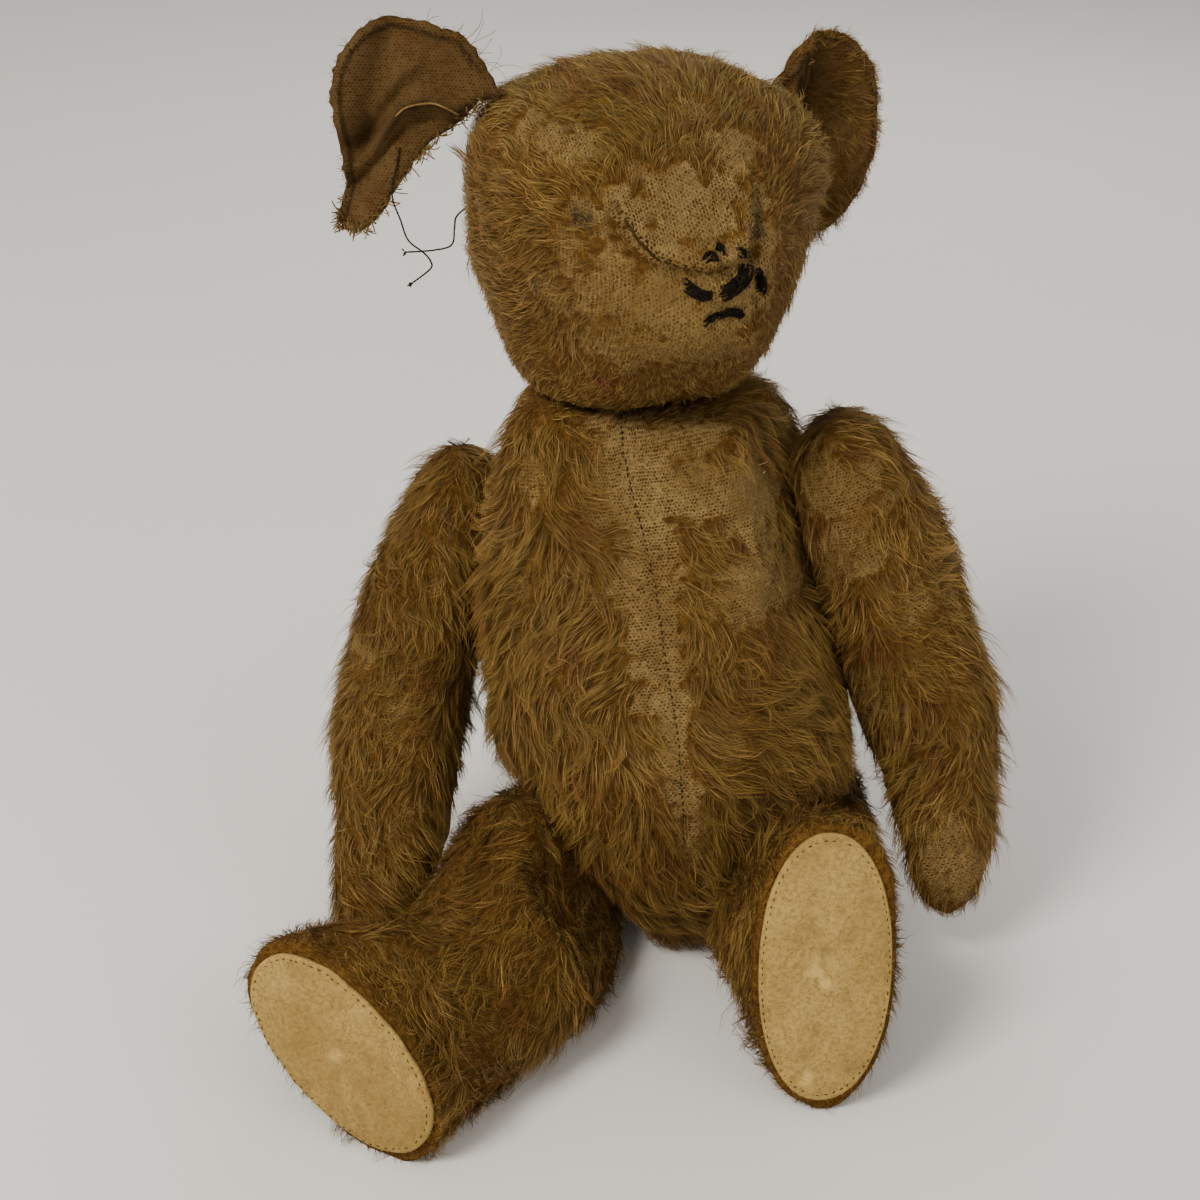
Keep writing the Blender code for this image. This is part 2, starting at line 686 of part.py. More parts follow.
def build_leg(side, parts, pivot):
    body = leg_body(side)
    outer, inner = limb_form("outer", body, 0), limb_form("inner", body, CLOTH)
    seam, tilt = LEG_CENTRE * MM, math.radians(SOLE_TILT)
    facing = Vector((math.sin(tilt) * front_sign(side), -math.cos(tilt), 0))
    sole = Vector((0, -SOLE * MM, 0))
    cloth_end = (sole - facing * (FELT + GAP), facing)
    away_side = ((0, 0, seam + GAP / 2), (0, -LEG_SPLAY, -1))
    near_side = ((0, 0, seam - GAP / 2), (0, LEG_SPLAY, 1))
    far = panel(f"leg_outer_{side}", outer, inner, parts["mohair"], [away_side, cloth_end])
    near = panel(f"leg_inner_{side}", outer, inner, parts["mohair"], [near_side, cloth_end])
    pin_bore(near, Matrix())
    pad = copy_of(outer, f"foot_pad_{side}")
    clip(pad, sole, facing)
    clip(pad, sole - facing * FELT, -facing)
    pad.data.materials.append(parts["felt"])
    discard(outer)
    discard(inner)
    stuffing = limb_form(f"leg_stuffing_{side}", body, CLOTH + 2.5 * GAP)
    clip(stuffing, *cloth_end)
    disc_pocket(stuffing, Matrix(), JOINTS[f"hip_{side}"][3] * MM, 1)
    stuffing.data.materials.append(parts["wood_wool"])
    for made in (far, near, pad, stuffing):
        place(slump(score(made, range(SLUMP_FROM, SOLE + 12, 9)), side), pivot)


def build_joint(joint, parts, root, pivot):
    """The discs, washers and cotter pin of one joint, stacked out from its cloth faces."""
    radius = JOINTS[joint][3] * MM
    disc_low = GAP / 2 + CLOTH + GAP
    disc_high = disc_low + DISC_THICK
    washer_low = disc_high + GAP
    washer_high = washer_low + WASHER_THICK
    in_root = in_torso(joint)
    turned_over = Matrix.Rotation(math.pi, 4, "X")
    for holder, parent, matrix in (("body", root, in_root @ turned_over), ("limb", pivot, Matrix())):
        owner = f"{joint}_{holder}"
        place(ring(f"{owner}_disc", radius, PIN_HOLE, disc_low, disc_high, 16, parts["board"]), parent, matrix)
        washer = ring(f"{owner}_washer", WASHER_RADIUS, PIN_HOLE, washer_low, washer_high, 12, parts["steel"])
        place(washer, parent, matrix)
    shank = ((0, 0, -washer_high - MM), (0, 0, washer_high + MM))
    pin = rod(f"{joint}_cotter_pin", shank, PIN_RADIUS, 8, parts["steel"])
    eye_middle = washer_high + GAP + PIN_WIRE + PIN_EYE_RADIUS
    eye = turned("eye", [
        (PIN_WIRE * math.sin(a), PIN_EYE_RADIUS + PIN_WIRE * math.cos(a))
        for a in (math.radians(60 * k) for k in range(6))
    ], 12)
    eye.data.transform(Matrix.Translation((0, 0, eye_middle)) @ Matrix.Rotation(math.pi / 2, 4, "X"))
    boolean(pin, eye, "UNION")
    bend = -washer_high - GAP - PIN_WIRE
    for sign in (-1, 1):
        path = ((0.5, 0.6), (0.9, -0.6), (2.2, -1.9), (4.0, -1.6), (5.0, -0.3))
        prong = rod("prong", [(sign * x * MM, 0, bend + z * MM) for x, z in path], PIN_WIRE, 6)
        boolean(pin, prong, "UNION")
    place(pin, root, in_root)


def main():
    for made in list(bpy.data.objects):
        bpy.data.objects.remove(made, do_unlink=True)
    parts = {
        "mohair": material("worn_mohair", (0.30, 0.19, 0.08), 0.95),
        "felt": material("worn_felt", (0.50, 0.40, 0.25), 0.95),
        "wood_wool": material("wood_wool", (0.62, 0.49, 0.28), 0.9),
        "board": material("pressed_board", (0.33, 0.22, 0.12), 0.85),
        "steel": material("dull_steel", (0.35, 0.33, 0.31), 0.5, 1.0),
        "yarn": material("black_yarn", (0.015, 0.013, 0.012), 0.9),
    }
    root = empty("torso", TORSO_FRAME)
    pivots = {joint: empty(joint, joint_frame(joint)) for joint in JOINTS}
    build_torso(parts, root)
    head = pivots["neck"]
    skin = build_head(parts, head)
    torn_front = build_ears(parts, head, joint_frame("neck"), skin)
    build_face(parts, head, skin)
    build_threads(parts, head, joint_frame("neck"), skin, torn_front)
    for side in ("right", "left"):
        build_arm(side, parts, pivots[f"shoulder_{side}"])
        build_leg(side, parts, pivots[f"hip_{side}"])
    for joint, pivot in pivots.items():
        build_joint(joint, parts, root, pivot)


main()
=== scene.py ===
"""The looks of a seated, worn mohair bear: soft skins, pile, felt pads, stitching, old marks and painted
shade.

Each body's skin is one soft shell drawn round its CAD covers and stuffing. The pile is tapered ribbons that
grow from the skins in locks. Places are in each body's own axes, in millimetres, scaled by MM.
"""

import json
import math

import bmesh
import bpy
import numpy as np
from mathutils import Matrix, Vector
from mathutils.bvhtree import BVHTree
from mathutils.kdtree import KDTree


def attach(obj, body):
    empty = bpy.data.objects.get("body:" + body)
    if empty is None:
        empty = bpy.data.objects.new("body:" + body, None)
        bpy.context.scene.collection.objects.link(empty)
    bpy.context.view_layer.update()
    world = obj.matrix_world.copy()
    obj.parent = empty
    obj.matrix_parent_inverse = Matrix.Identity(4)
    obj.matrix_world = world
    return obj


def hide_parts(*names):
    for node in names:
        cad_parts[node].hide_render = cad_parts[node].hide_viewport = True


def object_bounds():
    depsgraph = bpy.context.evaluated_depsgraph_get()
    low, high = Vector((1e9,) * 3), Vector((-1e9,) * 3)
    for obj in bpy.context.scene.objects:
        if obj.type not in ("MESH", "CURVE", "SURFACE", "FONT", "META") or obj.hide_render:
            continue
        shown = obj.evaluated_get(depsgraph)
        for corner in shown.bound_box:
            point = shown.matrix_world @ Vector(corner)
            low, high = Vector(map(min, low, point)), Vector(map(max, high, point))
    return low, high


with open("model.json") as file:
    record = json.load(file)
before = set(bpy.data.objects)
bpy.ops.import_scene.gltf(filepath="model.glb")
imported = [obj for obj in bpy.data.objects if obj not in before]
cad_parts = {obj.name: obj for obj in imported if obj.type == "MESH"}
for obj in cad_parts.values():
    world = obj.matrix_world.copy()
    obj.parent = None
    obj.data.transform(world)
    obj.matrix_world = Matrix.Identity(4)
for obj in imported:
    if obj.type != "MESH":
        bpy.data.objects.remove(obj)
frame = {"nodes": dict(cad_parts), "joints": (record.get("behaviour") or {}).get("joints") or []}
CAD_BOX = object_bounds()
CAD_LOW, CAD_HIGH = np.array(CAD_BOX)
MM = 0.001
# The pile may stand proud of the CAD's box by 3% of each side and a little under 10 mm, but not go
# under the floor.
SPARE = 9.5 * MM + 0.03 * (CAD_HIGH - CAD_LOW)
ROOM = (np.array((*(CAD_LOW - SPARE)[:2], 0.15 * MM)), CAD_HIGH + SPARE)
COLLECTION = bpy.context.scene.collection

# How the torso sits, and which way each limb points and the face looks.
SEAT = Vector((23.4, 31.9, 0.0)) * MM
TORSO_LEAN, TORSO_BACK = 9.5, 4.5  # degrees, to a side and backward
ALONG = {
    "neck": (0.42, -0.91, 0.0),
    "shoulder_right": (-0.14, -0.33, -0.93),
    "shoulder_left": (0.47, -0.19, -0.86),
    "hip_right": (-0.36, -0.93, -0.02),
    "hip_left": (-0.08, -1.0, 0.02),
}
JOINTS = {joint["name"]: joint for joint in frame["joints"]}
JOINT_OF = {
    "head": "neck",
    "arm_right": "shoulder_right",
    "arm_left": "shoulder_left",
    "leg_right": "hip_right",
    "leg_left": "hip_left",
}
ARM_CENTRE, LEG_CENTRE = 11.5, 13.0  # from a limb's joint plane to its seam
WRIST_AT, SOLE_AT, SOLE_TILT = 84, 112, 12  # millimetres down the limb, and degrees
PAW_FRONT = 12.5  # how far forward of the arm's middle line its felt reaches

CAMERA_AT = Vector((-11.2, -465.6, 356.2)) * MM
CAMERA_DOWN, CAMERA_ROLL, CAMERA_LENS = 27.0, 2.0, 57.75

# Colours, linear.
CLOTH = (0.44, 0.300, 0.108)
CLOTH_DARK = (0.27, 0.168, 0.052)
# The ears' cloth is darker than the body's: partly a browner cloth of its own, partly painted shade, since
# the ears sit in partial shade.
EAR_CLOTH_PALE_SHADED = (0.150, 0.093, 0.035)
EAR_CLOTH_DARK_SHADED = (0.080, 0.044, 0.015)
TUFT = (0.070, 0.027, 0.004)
UNDER_PILE = (0.085, 0.036, 0.005)
FELT = (0.50, 0.335, 0.105)
YARN = (0.0045, 0.0035, 0.0025)
THREAD = (0.010, 0.007, 0.004)
FIBRE = (0.20, 0.125, 0.036)
PILE_MID = np.array((0.20, 0.100, 0.016))
PILE_LIGHT = np.array((0.42, 0.250, 0.060))
PILE_RED = np.array((0.155, 0.062, 0.009))
PILE_OLIVE = np.array((0.22, 0.145, 0.028))


# ---------------------------------------------------------------- numbers

def unit(vectors):
    return vectors / np.maximum(np.linalg.norm(vectors, axis=-1, keepdims=True), 1e-12)


def ease(low, high, value):
    """0 at low, 1 at high, smooth between. low may be the larger."""
    t = np.clip((value - low) / (high - low), 0, 1)
    return t * t * (3 - 2 * t)


def bell(value, width):
    """1 where value is 0, falling smoothly to nothing about two widths away."""
    return np.exp(-((value / width) ** 2))


def tangent(vectors, normals):
    return unit(vectors - normals * (vectors * normals).sum(-1, keepdims=True))


def off_centre(local, centre, reach):
    """How far points are from a centre, where 1 is its reach along each axis."""
    return np.linalg.norm((local - np.array(centre)) / np.array(reach), axis=1)


def cubic(a, b, c, d, t):
    """A smooth curve from b to c that passes on toward a and d."""
    return 0.5 * (2 * b + (c - a) * t + (2 * a - 5 * b + 4 * c - d) * t**2 + (3 * b - a - 3 * c + d) * t**3)


def rounded(outline, count):
    """A closed smooth line through outline's points."""
    rows = np.array(outline, float)
    steps = np.linspace(0, len(rows), count, endpoint=False)
    k = steps.astype(int)
    return cubic(*(rows[(k + n) % len(rows)] for n in (-1, 0, 1, 2)), (steps - k)[:, None])


def through(rows, count):
    """A smooth open line through points, as the CAD's own routes are drawn."""
    rows = np.array(rows, float)
    rows = np.concatenate((2 * rows[:1] - rows[1:2], rows, 2 * rows[-1:] - rows[-2:-1]))
    steps = np.linspace(0, len(rows) - 3, count)
    k = np.minimum(steps.astype(int), len(rows) - 4)
    return cubic(*(rows[k + n] for n in range(4)), (steps - k)[:, None])


def area_inside(edge):
    """The area inside a closed outline of (across, up) points."""
    ahead = np.roll(edge, -1, 0)
    return abs(np.sum(edge[:, 0] * ahead[:, 1] - edge[:, 1] * ahead[:, 0])) / 2


class Waves:
    """A smooth random field of unit spread: plane waves about size millimetres long."""

    def __init__(self, seed, size):
        count = 20
        draw = np.random.default_rng(seed)
        lengths = size * draw.uniform(0.7, 1.6, (count, 1))
        self.steps = unit(draw.normal(size=(count, 3))) * 2 * math.pi / lengths
        self.phases = draw.uniform(0, 2 * math.pi, count)

    def __call__(self, points):
        return np.sin(points @ self.steps.T + self.phases).sum(-1) * math.sqrt(2 / len(self.phases))


RAGGED = Waves(3, 9)
RAGGED_FINE = Waves(4, 3.2)
SWIRL = Waves(5, 42)
SWIRL_FINE = Waves(6, 15)
PATCHY = Waves(7, 26)
LUMPS = Waves(8, 34)
LUMPS_FINE = Waves(9, 11)


# ---------------------------------------------------------------- axes

class Axes:
    """A body's own axes. inward takes world metres to millimetres in them, outward the other way."""

    def __init__(self, matrix):
        self.matrix = matrix
        self.origin = np.array(matrix.translation)
        self.turn = np.array(matrix.to_3x3())

    def inward(self, points):
        return (np.asarray(points) - self.origin) @ self.turn / MM

    def outward(self, points):
        return np.asarray(points) * MM @ self.turn.T + self.origin

    def aim(self, vectors):
        return np.asarray(vectors, float) @ self.turn.T


def joint_axes(joint):
    """Z along the joint's axis, and -Y along the limb or the face."""
    facts = JOINTS[joint]
    z = Vector(facts["axis"]).normalized()
    along = Vector(ALONG[joint])
    y = -(along - z * along.dot(z)).normalized()
    turn = Matrix((y.cross(z), y, z)).transposed().to_4x4()
    return Axes(Matrix.Translation(facts["pos_m"]) @ turn)


LEAN = Matrix.Rotation(math.radians(-TORSO_LEAN), 4, "Y") @ Matrix.Rotation(math.radians(-TORSO_BACK), 4, "X")
AXES = {"torso": Axes(Matrix.Translation(SEAT) @ LEAN)}
AXES.update({body: joint_axes(joint) for body, joint in JOINT_OF.items()})


def front_sign(body):
    """+1 where a limb's front is at +X of its axes."""
    return -1 if body.endswith("left") else 1


# ---------------------------------------------------------------- materials

class Material:
    """A node material. Calling it adds a node and gives its first output."""

    def __init__(self, name, roughness=0.8, **constants):
        self.made = bpy.data.materials.new(name)
        self.made.use_nodes = True
        self.tree = self.made.node_tree
        self.shader = self.tree.nodes["Principled BSDF"]
        self.shader.inputs["Roughness"].default_value = roughness
        for socket, value in constants.items():
            self.shader.inputs[socket.replace("_", " ")].default_value = value

    def __call__(self, kind, output=0, settings=None, **inputs):
        """Inputs are given by name, or as i0, i1 and so on by number."""
        node = self.tree.nodes.new("ShaderNode" + kind)
        for name, value in (settings or {}).items():
            setattr(node, name, value)
        for key, value in inputs.items():
            socket = node.inputs[int(key[1:])] if key[1:].isdigit() else node.inputs[key.replace("_", " ")]
            self.put(socket, value)
        return node.outputs[output]

    def put(self, socket, value):
        if isinstance(value, bpy.types.NodeSocket):
            self.tree.links.new(value, socket)
        elif isinstance(socket.default_value, float):
            socket.default_value = value
        elif len(socket.default_value) == 4 and len(value) == 3:
            socket.default_value = (*value, 1.0)
        else:
            socket.default_value = value

    def math(self, operation, *values):
        node = {f"i{k}": v for k, v in enumerate(values)}
        return self("Math", settings={"operation": operation}, **node)

    def ramp(self, value, low, high, to_low=0.0, to_high=1.0):
        settings = {"interpolation_type": "SMOOTHSTEP"}
        return self("MapRange", settings=settings, i0=value, i1=low, i2=high, i3=to_low, i4=to_high)

    def mix(self, share, a, b):
        return self("Mix", output=2, settings={"data_type": "RGBA"}, i0=share, i6=a, i7=b)

    def noise(self, where, scale, detail=3.0, roughness=0.5):
        return self("TexNoise", Vector=where, Scale=scale, Detail=detail, Roughness=roughness)

    def attribute(self, name, output):
        return self("Attribute", output=output, settings={"attribute_name": name})

    def place(self):
        return self("TexCoord", output=3)

    def finish(self, colour, height=None, depth=0.0, strength=1.0):
        self.put(self.shader.inputs["Base Color"], colour)
        if height is not None:
            bump = self("Bump", Strength=strength, Distance=depth, Height=height)
            self.put(self.shader.inputs["Normal"], bump)
        return self.made


def cloth_material(name, cloth=CLOTH, dark=CLOTH_DARK):
    """Mohair's woven backing: fine threads, staggered dark tufts, and deep brown where pile covers it."""
    tuft_across, tuft_along, warp_pitch, weft_pitch = 0.00112, 0.00086, 0.00078, 0.00062  # metres
    m = Material(name, 0.95, Specular_IOR_Level=0.12)
    where = m.place()
    bare = m.attribute("bare", 2)
    cloth_map = m("UVMap", settings={"uv_map": "cloth"})
    stray = m("TexNoise", output=1, Vector=where, Scale=420.0, Detail=1.0)
    centred = m("VectorMath", settings={"operation": "SUBTRACT"}, i0=stray, i1=(0.5, 0.5, 0.5))
    pulled = (0.0010, 0.0010, 0.0)  # how far threads stray, in metres
    warped = m("VectorMath", settings={"operation": "MULTIPLY_ADD"}, i0=centred, i1=pulled, i2=cloth_map)
    split = m("SeparateXYZ", i0=warped)
    across, along = split, split.node.outputs[1]
    row = m.math("DIVIDE", along, tuft_along)
    row_index = m.math("FLOOR", row)
    column = m.math("ADD", m.math("DIVIDE", across, tuft_across), m.math("MULTIPLY", row_index, 0.5))
    cell = m("CombineXYZ", i0=m.math("FLOOR", column), i1=row_index)
    chance = m("TexWhiteNoise", settings={"noise_dimensions": "2D"}, Vector=cell)
    du = m.math("MULTIPLY", m.math("SUBTRACT", m.math("FRACT", column), 0.5), 1.1)
    dv = m.math("MULTIPLY", m.math("SUBTRACT", m.math("FRACT", row), 0.5), 1.25)
    off = m.math("SQRT", m.math("ADD", m.math("MULTIPLY", du, du), m.math("MULTIPLY", dv, dv)))
    drift = m.noise(where, 160.0, 2.0)
    tuft_size = m.math("MULTIPLY_ADD", chance, 0.36, m.math("MULTIPLY_ADD", drift, 0.62, -0.22))
    tuft = m.ramp(m.math("SUBTRACT", tuft_size, off), -0.16, 0.12)
    weft = m.math("SINE", m.math("MULTIPLY", along, 2 * math.pi / weft_pitch))
    warp = m.math("SINE", m.math("MULTIPLY", across, 2 * math.pi / warp_pitch))
    threads = m.math("MULTIPLY_ADD", m.math("MULTIPLY", weft, warp), 0.5, 0.5)
    ground = m.mix(m.ramp(m.noise(where, 62.0, 4.0, 0.6), 0.32, 0.68), dark, cloth)
    grain = m.noise(where, 1300.0, 3.0, 0.7)
    ground = m.mix(m.math("MULTIPLY", threads, 0.50), ground, (0.13, 0.068, 0.018))
    ground = m.mix(m.ramp(grain, 0.42, 0.66, 0.0, 0.62), ground, (0.12, 0.062, 0.015))
    smooth_bare = m.ramp(bare, 1.0, 1.25, 0.92, 0.40)
    ground = m.mix(m.math("MULTIPLY", tuft, smooth_bare), ground, TUFT)
    # This attribute holds real marks and also painted shade in the face's seams and the ears' folds.
    stain = m.attribute("stain", 0)
    ground = m.mix(stain.node.outputs[3], ground, stain)
    fuzz = m.noise(where, 520.0, 4.0, 0.65)
    deep = m.mix(m.ramp(fuzz, 0.35, 0.7), UNDER_PILE, (0.17, 0.082, 0.014))
    rough_edge = m.math("MULTIPLY_ADD", fuzz, 0.9, m.math("MULTIPLY_ADD", tuft, -0.35, -0.28))
    shown = m.ramp(m.math("ADD", bare, rough_edge), 0.30, 0.95)
    height = m.math("ADD", m.math("MULTIPLY", threads, 0.6), m.math("MULTIPLY_ADD", tuft, 0.5, grain))
    return m.finish(m.mix(shown, deep, ground), height, 0.0006)


def pile_material(name):
    m = Material(name, 0.6, Sheen_Weight=0.12, Sheen_Roughness=0.5, Specular_IOR_Level=0.22)
    m.shader.inputs["Sheen Tint"].default_value = (1.0, 0.75, 0.35, 1.0)
    tint = m.attribute("tint", 0)
    fleck = m.noise(m.place(), 900.0, 2.0)
    return m.finish(m.mix(m.ramp(fleck, 0.3, 0.7, 0.0, 0.25), tint, (0.07, 0.032, 0.006)))


def felt_material(name):
    """Worn wool felt: matted fibres, greyed and browned unevenly."""
    m = Material(name, 0.97, Specular_IOR_Level=0.12)
    where = m.place()
    fibres = m.noise(where, 900.0, 6.0, 0.75)
    blotch = m.ramp(m.noise(where, 55.0, 4.0, 0.6), 0.35, 0.7)
    colour = m.mix(blotch, FELT, (0.415, 0.27, 0.080))
    colour = m.mix(m.ramp(m.noise(where, 110.0, 5.0, 0.7), 0.5, 0.8), colour, (0.31, 0.20, 0.064))
    colour = m.mix(m.ramp(fibres, 0.40, 0.70, 0.0, 0.70), colour, (0.20, 0.115, 0.026))
    stain = m.attribute("stain", 0)
    colour = m.mix(stain.node.outputs[3], colour, stain)
    height = m.math("ADD", m.math("MULTIPLY", fibres, 0.8), m.noise(where, 260.0, 3.0))
    return m.finish(colour, height, 0.0007)


def plain_material(name, colour, other, scale, roughness, metallic=0.0, specular=0.5):
    """Two close tones broken up by noise, with a fine grain."""
    m = Material(name, roughness, Metallic=metallic, Specular_IOR_Level=specular)
    grain = m.noise(m.place(), scale, 4.0, 0.6)
    m.put(m.shader.inputs["Roughness"], m.ramp(grain, 0.3, 0.7, roughness - 0.1, roughness + 0.05))
    return m.finish(m.mix(m.ramp(grain, 0.35, 0.65), colour, other), grain, 0.0001, 0.6)


# ---------------------------------------------------------------- meshes

def belong(made, key, slot, *nodes):
    """Rides a piece on its body, and hides the CAD nodes that it stands for. Its slot is not used."""
    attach(made, "head" if key.startswith("ear") else key)
    if nodes:
        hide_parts(*nodes)


def mesh_object(name, points, faces, material=None):
    mesh = bpy.data.meshes.new(name)
    mesh.from_pydata([tuple(p) for p in points], [], faces)
    return add_object(name, mesh, material)


def add_object(name, mesh, material=None):
    made = bpy.data.objects.new(name, mesh)
    COLLECTION.objects.link(made)
    if material:
        mesh.materials.append(material)
    mesh.shade_smooth()
    return made


def closed_sheet(name, points, count, rings, material):
    """A closed sheet from two layers: each is rings of count points, outermost first, and then its middle."""
    faces = []
    side = rings * count + 1
    for start in (0, side):
        last = start + (rings - 1) * count
        for n in range(count):
            m = (n + 1) % count
            for outer in range(start, last, count):
                inner = outer + count
                faces.append((outer + n, outer + m, inner + m, inner + n))
            faces.append((last + n, last + m, last + count))
    faces += [(n, side + n, side + (n + 1) % count, (n + 1) % count) for n in range(count)]
    made = mesh_object(name, points, faces)
    form = bmesh.new()
    form.from_mesh(made.data)
    bmesh.ops.recalc_face_normals(form, faces=form.faces)
    form.to_mesh(made.data)
    form.free()
    made.data.materials.append(material)
    return made


def modify(made, kind, **settings):
    """Puts one modifier on a piece and applies it."""
    step = made.modifiers.new(kind.lower(), kind)
    for name, value in settings.items():
        setattr(step, name, value)
    apply_modifiers(made)


def apply_modifiers(made):
    bpy.context.view_layer.update()
    graph = bpy.context.evaluated_depsgraph_get()
    mesh = bpy.data.meshes.new_from_object(made.evaluated_get(graph))
    made.modifiers.clear()
    made.data = mesh
    mesh.shade_smooth()


def read(items, field, kind=np.int32, width=1):
    """One field of every item in a mesh's list."""
    values = np.empty(len(items) * width, kind)
    items.foreach_get(field, values)
    return values if width == 1 else values.reshape(-1, width)


def write(layer, field, values):
    layer.data.foreach_set(field, values.astype(np.float32).ravel())


def coordinates(mesh):
    return read(mesh.vertices, "co", np.float32, 3).astype(float)


def set_coordinates(mesh, points):
    mesh.vertices.foreach_set("co", points.astype(np.float32).ravel())
    mesh.update()


def vertex_normals(mesh):
    return read(mesh.vertices, "normal", np.float32, 3).astype(float)


def cad_union(name, nodes):
    """One mesh object holding copies of CAD nodes."""
    form = bmesh.new()
    for node in nodes:
        form.from_mesh(frame["nodes"][node].data)
    mesh = bpy.data.meshes.new(name)
    form.to_mesh(mesh)
    form.free()
    return add_object(name, mesh)


def keep_largest(mesh):
    """Drops every part of a mesh but the one with the most points."""
    form = bmesh.new()
    form.from_mesh(mesh)
    left = set(form.verts)
    best = []
    while left:
        start = left.pop()
        group, edge = [start], [start]
        while edge:
            v = edge.pop()
            for e in v.link_edges:
                other = e.other_vert(v)
                if other in left:
                    left.discard(other)
                    group.append(other)
                    edge.append(other)
        if len(group) > len(best):
            best = group
    keep = set(best)
    bmesh.ops.delete(form, geom=[v for v in form.verts if v not in keep], context="VERTS")
    form.to_mesh(mesh)
    form.free()


def inflate(made, cap):
    """Fills a closed skin with pressed stuffing as Blender's cloth, and lets no point move more than cap."""
    frames = 20
    rest = coordinates(made.data)
    step = made.modifiers.new("cloth", "CLOTH")
    step.settings.quality = 6
    step.settings.mass = 0.2
    step.settings.use_pressure = True
    step.settings.uniform_pressure_force = 4.0
    step.settings.tension_stiffness = 12
    step.settings.compression_stiffness = 12
    step.settings.shear_stiffness = 6
    step.settings.bending_stiffness = 0.4
    step.settings.effector_weights.gravity = 0
    step.point_cache.frame_start = 1
    step.point_cache.frame_end = frames
    scene = bpy.context.scene
    for now in range(1, frames + 1):
        scene.frame_set(now)
    apply_modifiers(made)
    move = coordinates(made.data) - rest
    size = np.linalg.norm(move, axis=1, keepdims=True)
    set_coordinates(made.data, rest + move * np.minimum(1, cap / np.maximum(size, 1e-9)))
    scene.frame_set(1)


def cylinder_map(mesh, local, around, along, radius):
    """A cloth map in metres: round a body's middle line by angle, and along it by distance."""
    angle = np.arctan2(local[:, around[0]], local[:, around[1]])
    loops = read(mesh.loops, "vertex_index")
    first = np.repeat(loops[read(mesh.polygons, "loop_start")], read(mesh.polygons, "loop_total"))
    turns = angle[loops]
    turns -= 2 * math.pi * np.round((turns - angle[first]) / (2 * math.pi))
    flat = np.stack((turns * radius * MM, local[loops, along] * MM), 1)
    write(mesh.uv_layers.new(name="cloth"), "uv", flat)


def plane_map(mesh, local, axes):
    """A cloth map in metres, flat along two of the local axes."""
    write(mesh.uv_layers.new(name="cloth"), "uv", local[read(mesh.loops, "vertex_index")][:, axes] * MM)


def set_bare(mesh, values):
    write(mesh.attributes.new("bare", "FLOAT", "POINT"), "value", values)


def set_stain(mesh, local, marks, painted_shade=None):
    """Paints round soft-edged marks, each a centre, reach, colour and strength, and painted shade over them.
    """
    colours = np.zeros((len(local), 4))
    ragged = 0.18 * RAGGED_FINE(local)
    for centre, reach, colour, strength in marks:
        off = off_centre(local, centre, reach) + ragged
        share = strength * ease(1.15, 0.55, off)
        left = colours[:, 3:] * (1 - share[:, None])
        total = left + share[:, None]
        blended = colours[:, :3] * left + np.array(colour) * share[:, None]
        colours[:, :3] = blended / np.maximum(total, 1e-6)
        colours[:, 3:] = total
    # The painted shade in the face's seams and the ears' folds, laid over the marks in the darkest mark
    # colour.
    if painted_shade is not None:
        share = np.clip(painted_shade, 0, 1)[:, None]
        colours[:, :3] = colours[:, :3] * (1 - share) + np.array(DARK_DOT_AND_SHADE) * share
        colours[:, 3:] = np.maximum(colours[:, 3:], share)
    write(mesh.attributes.new("stain", "FLOAT_COLOR", "POINT"), "color", colours)


# ---------------------------------------------------------------- where the pile is worn

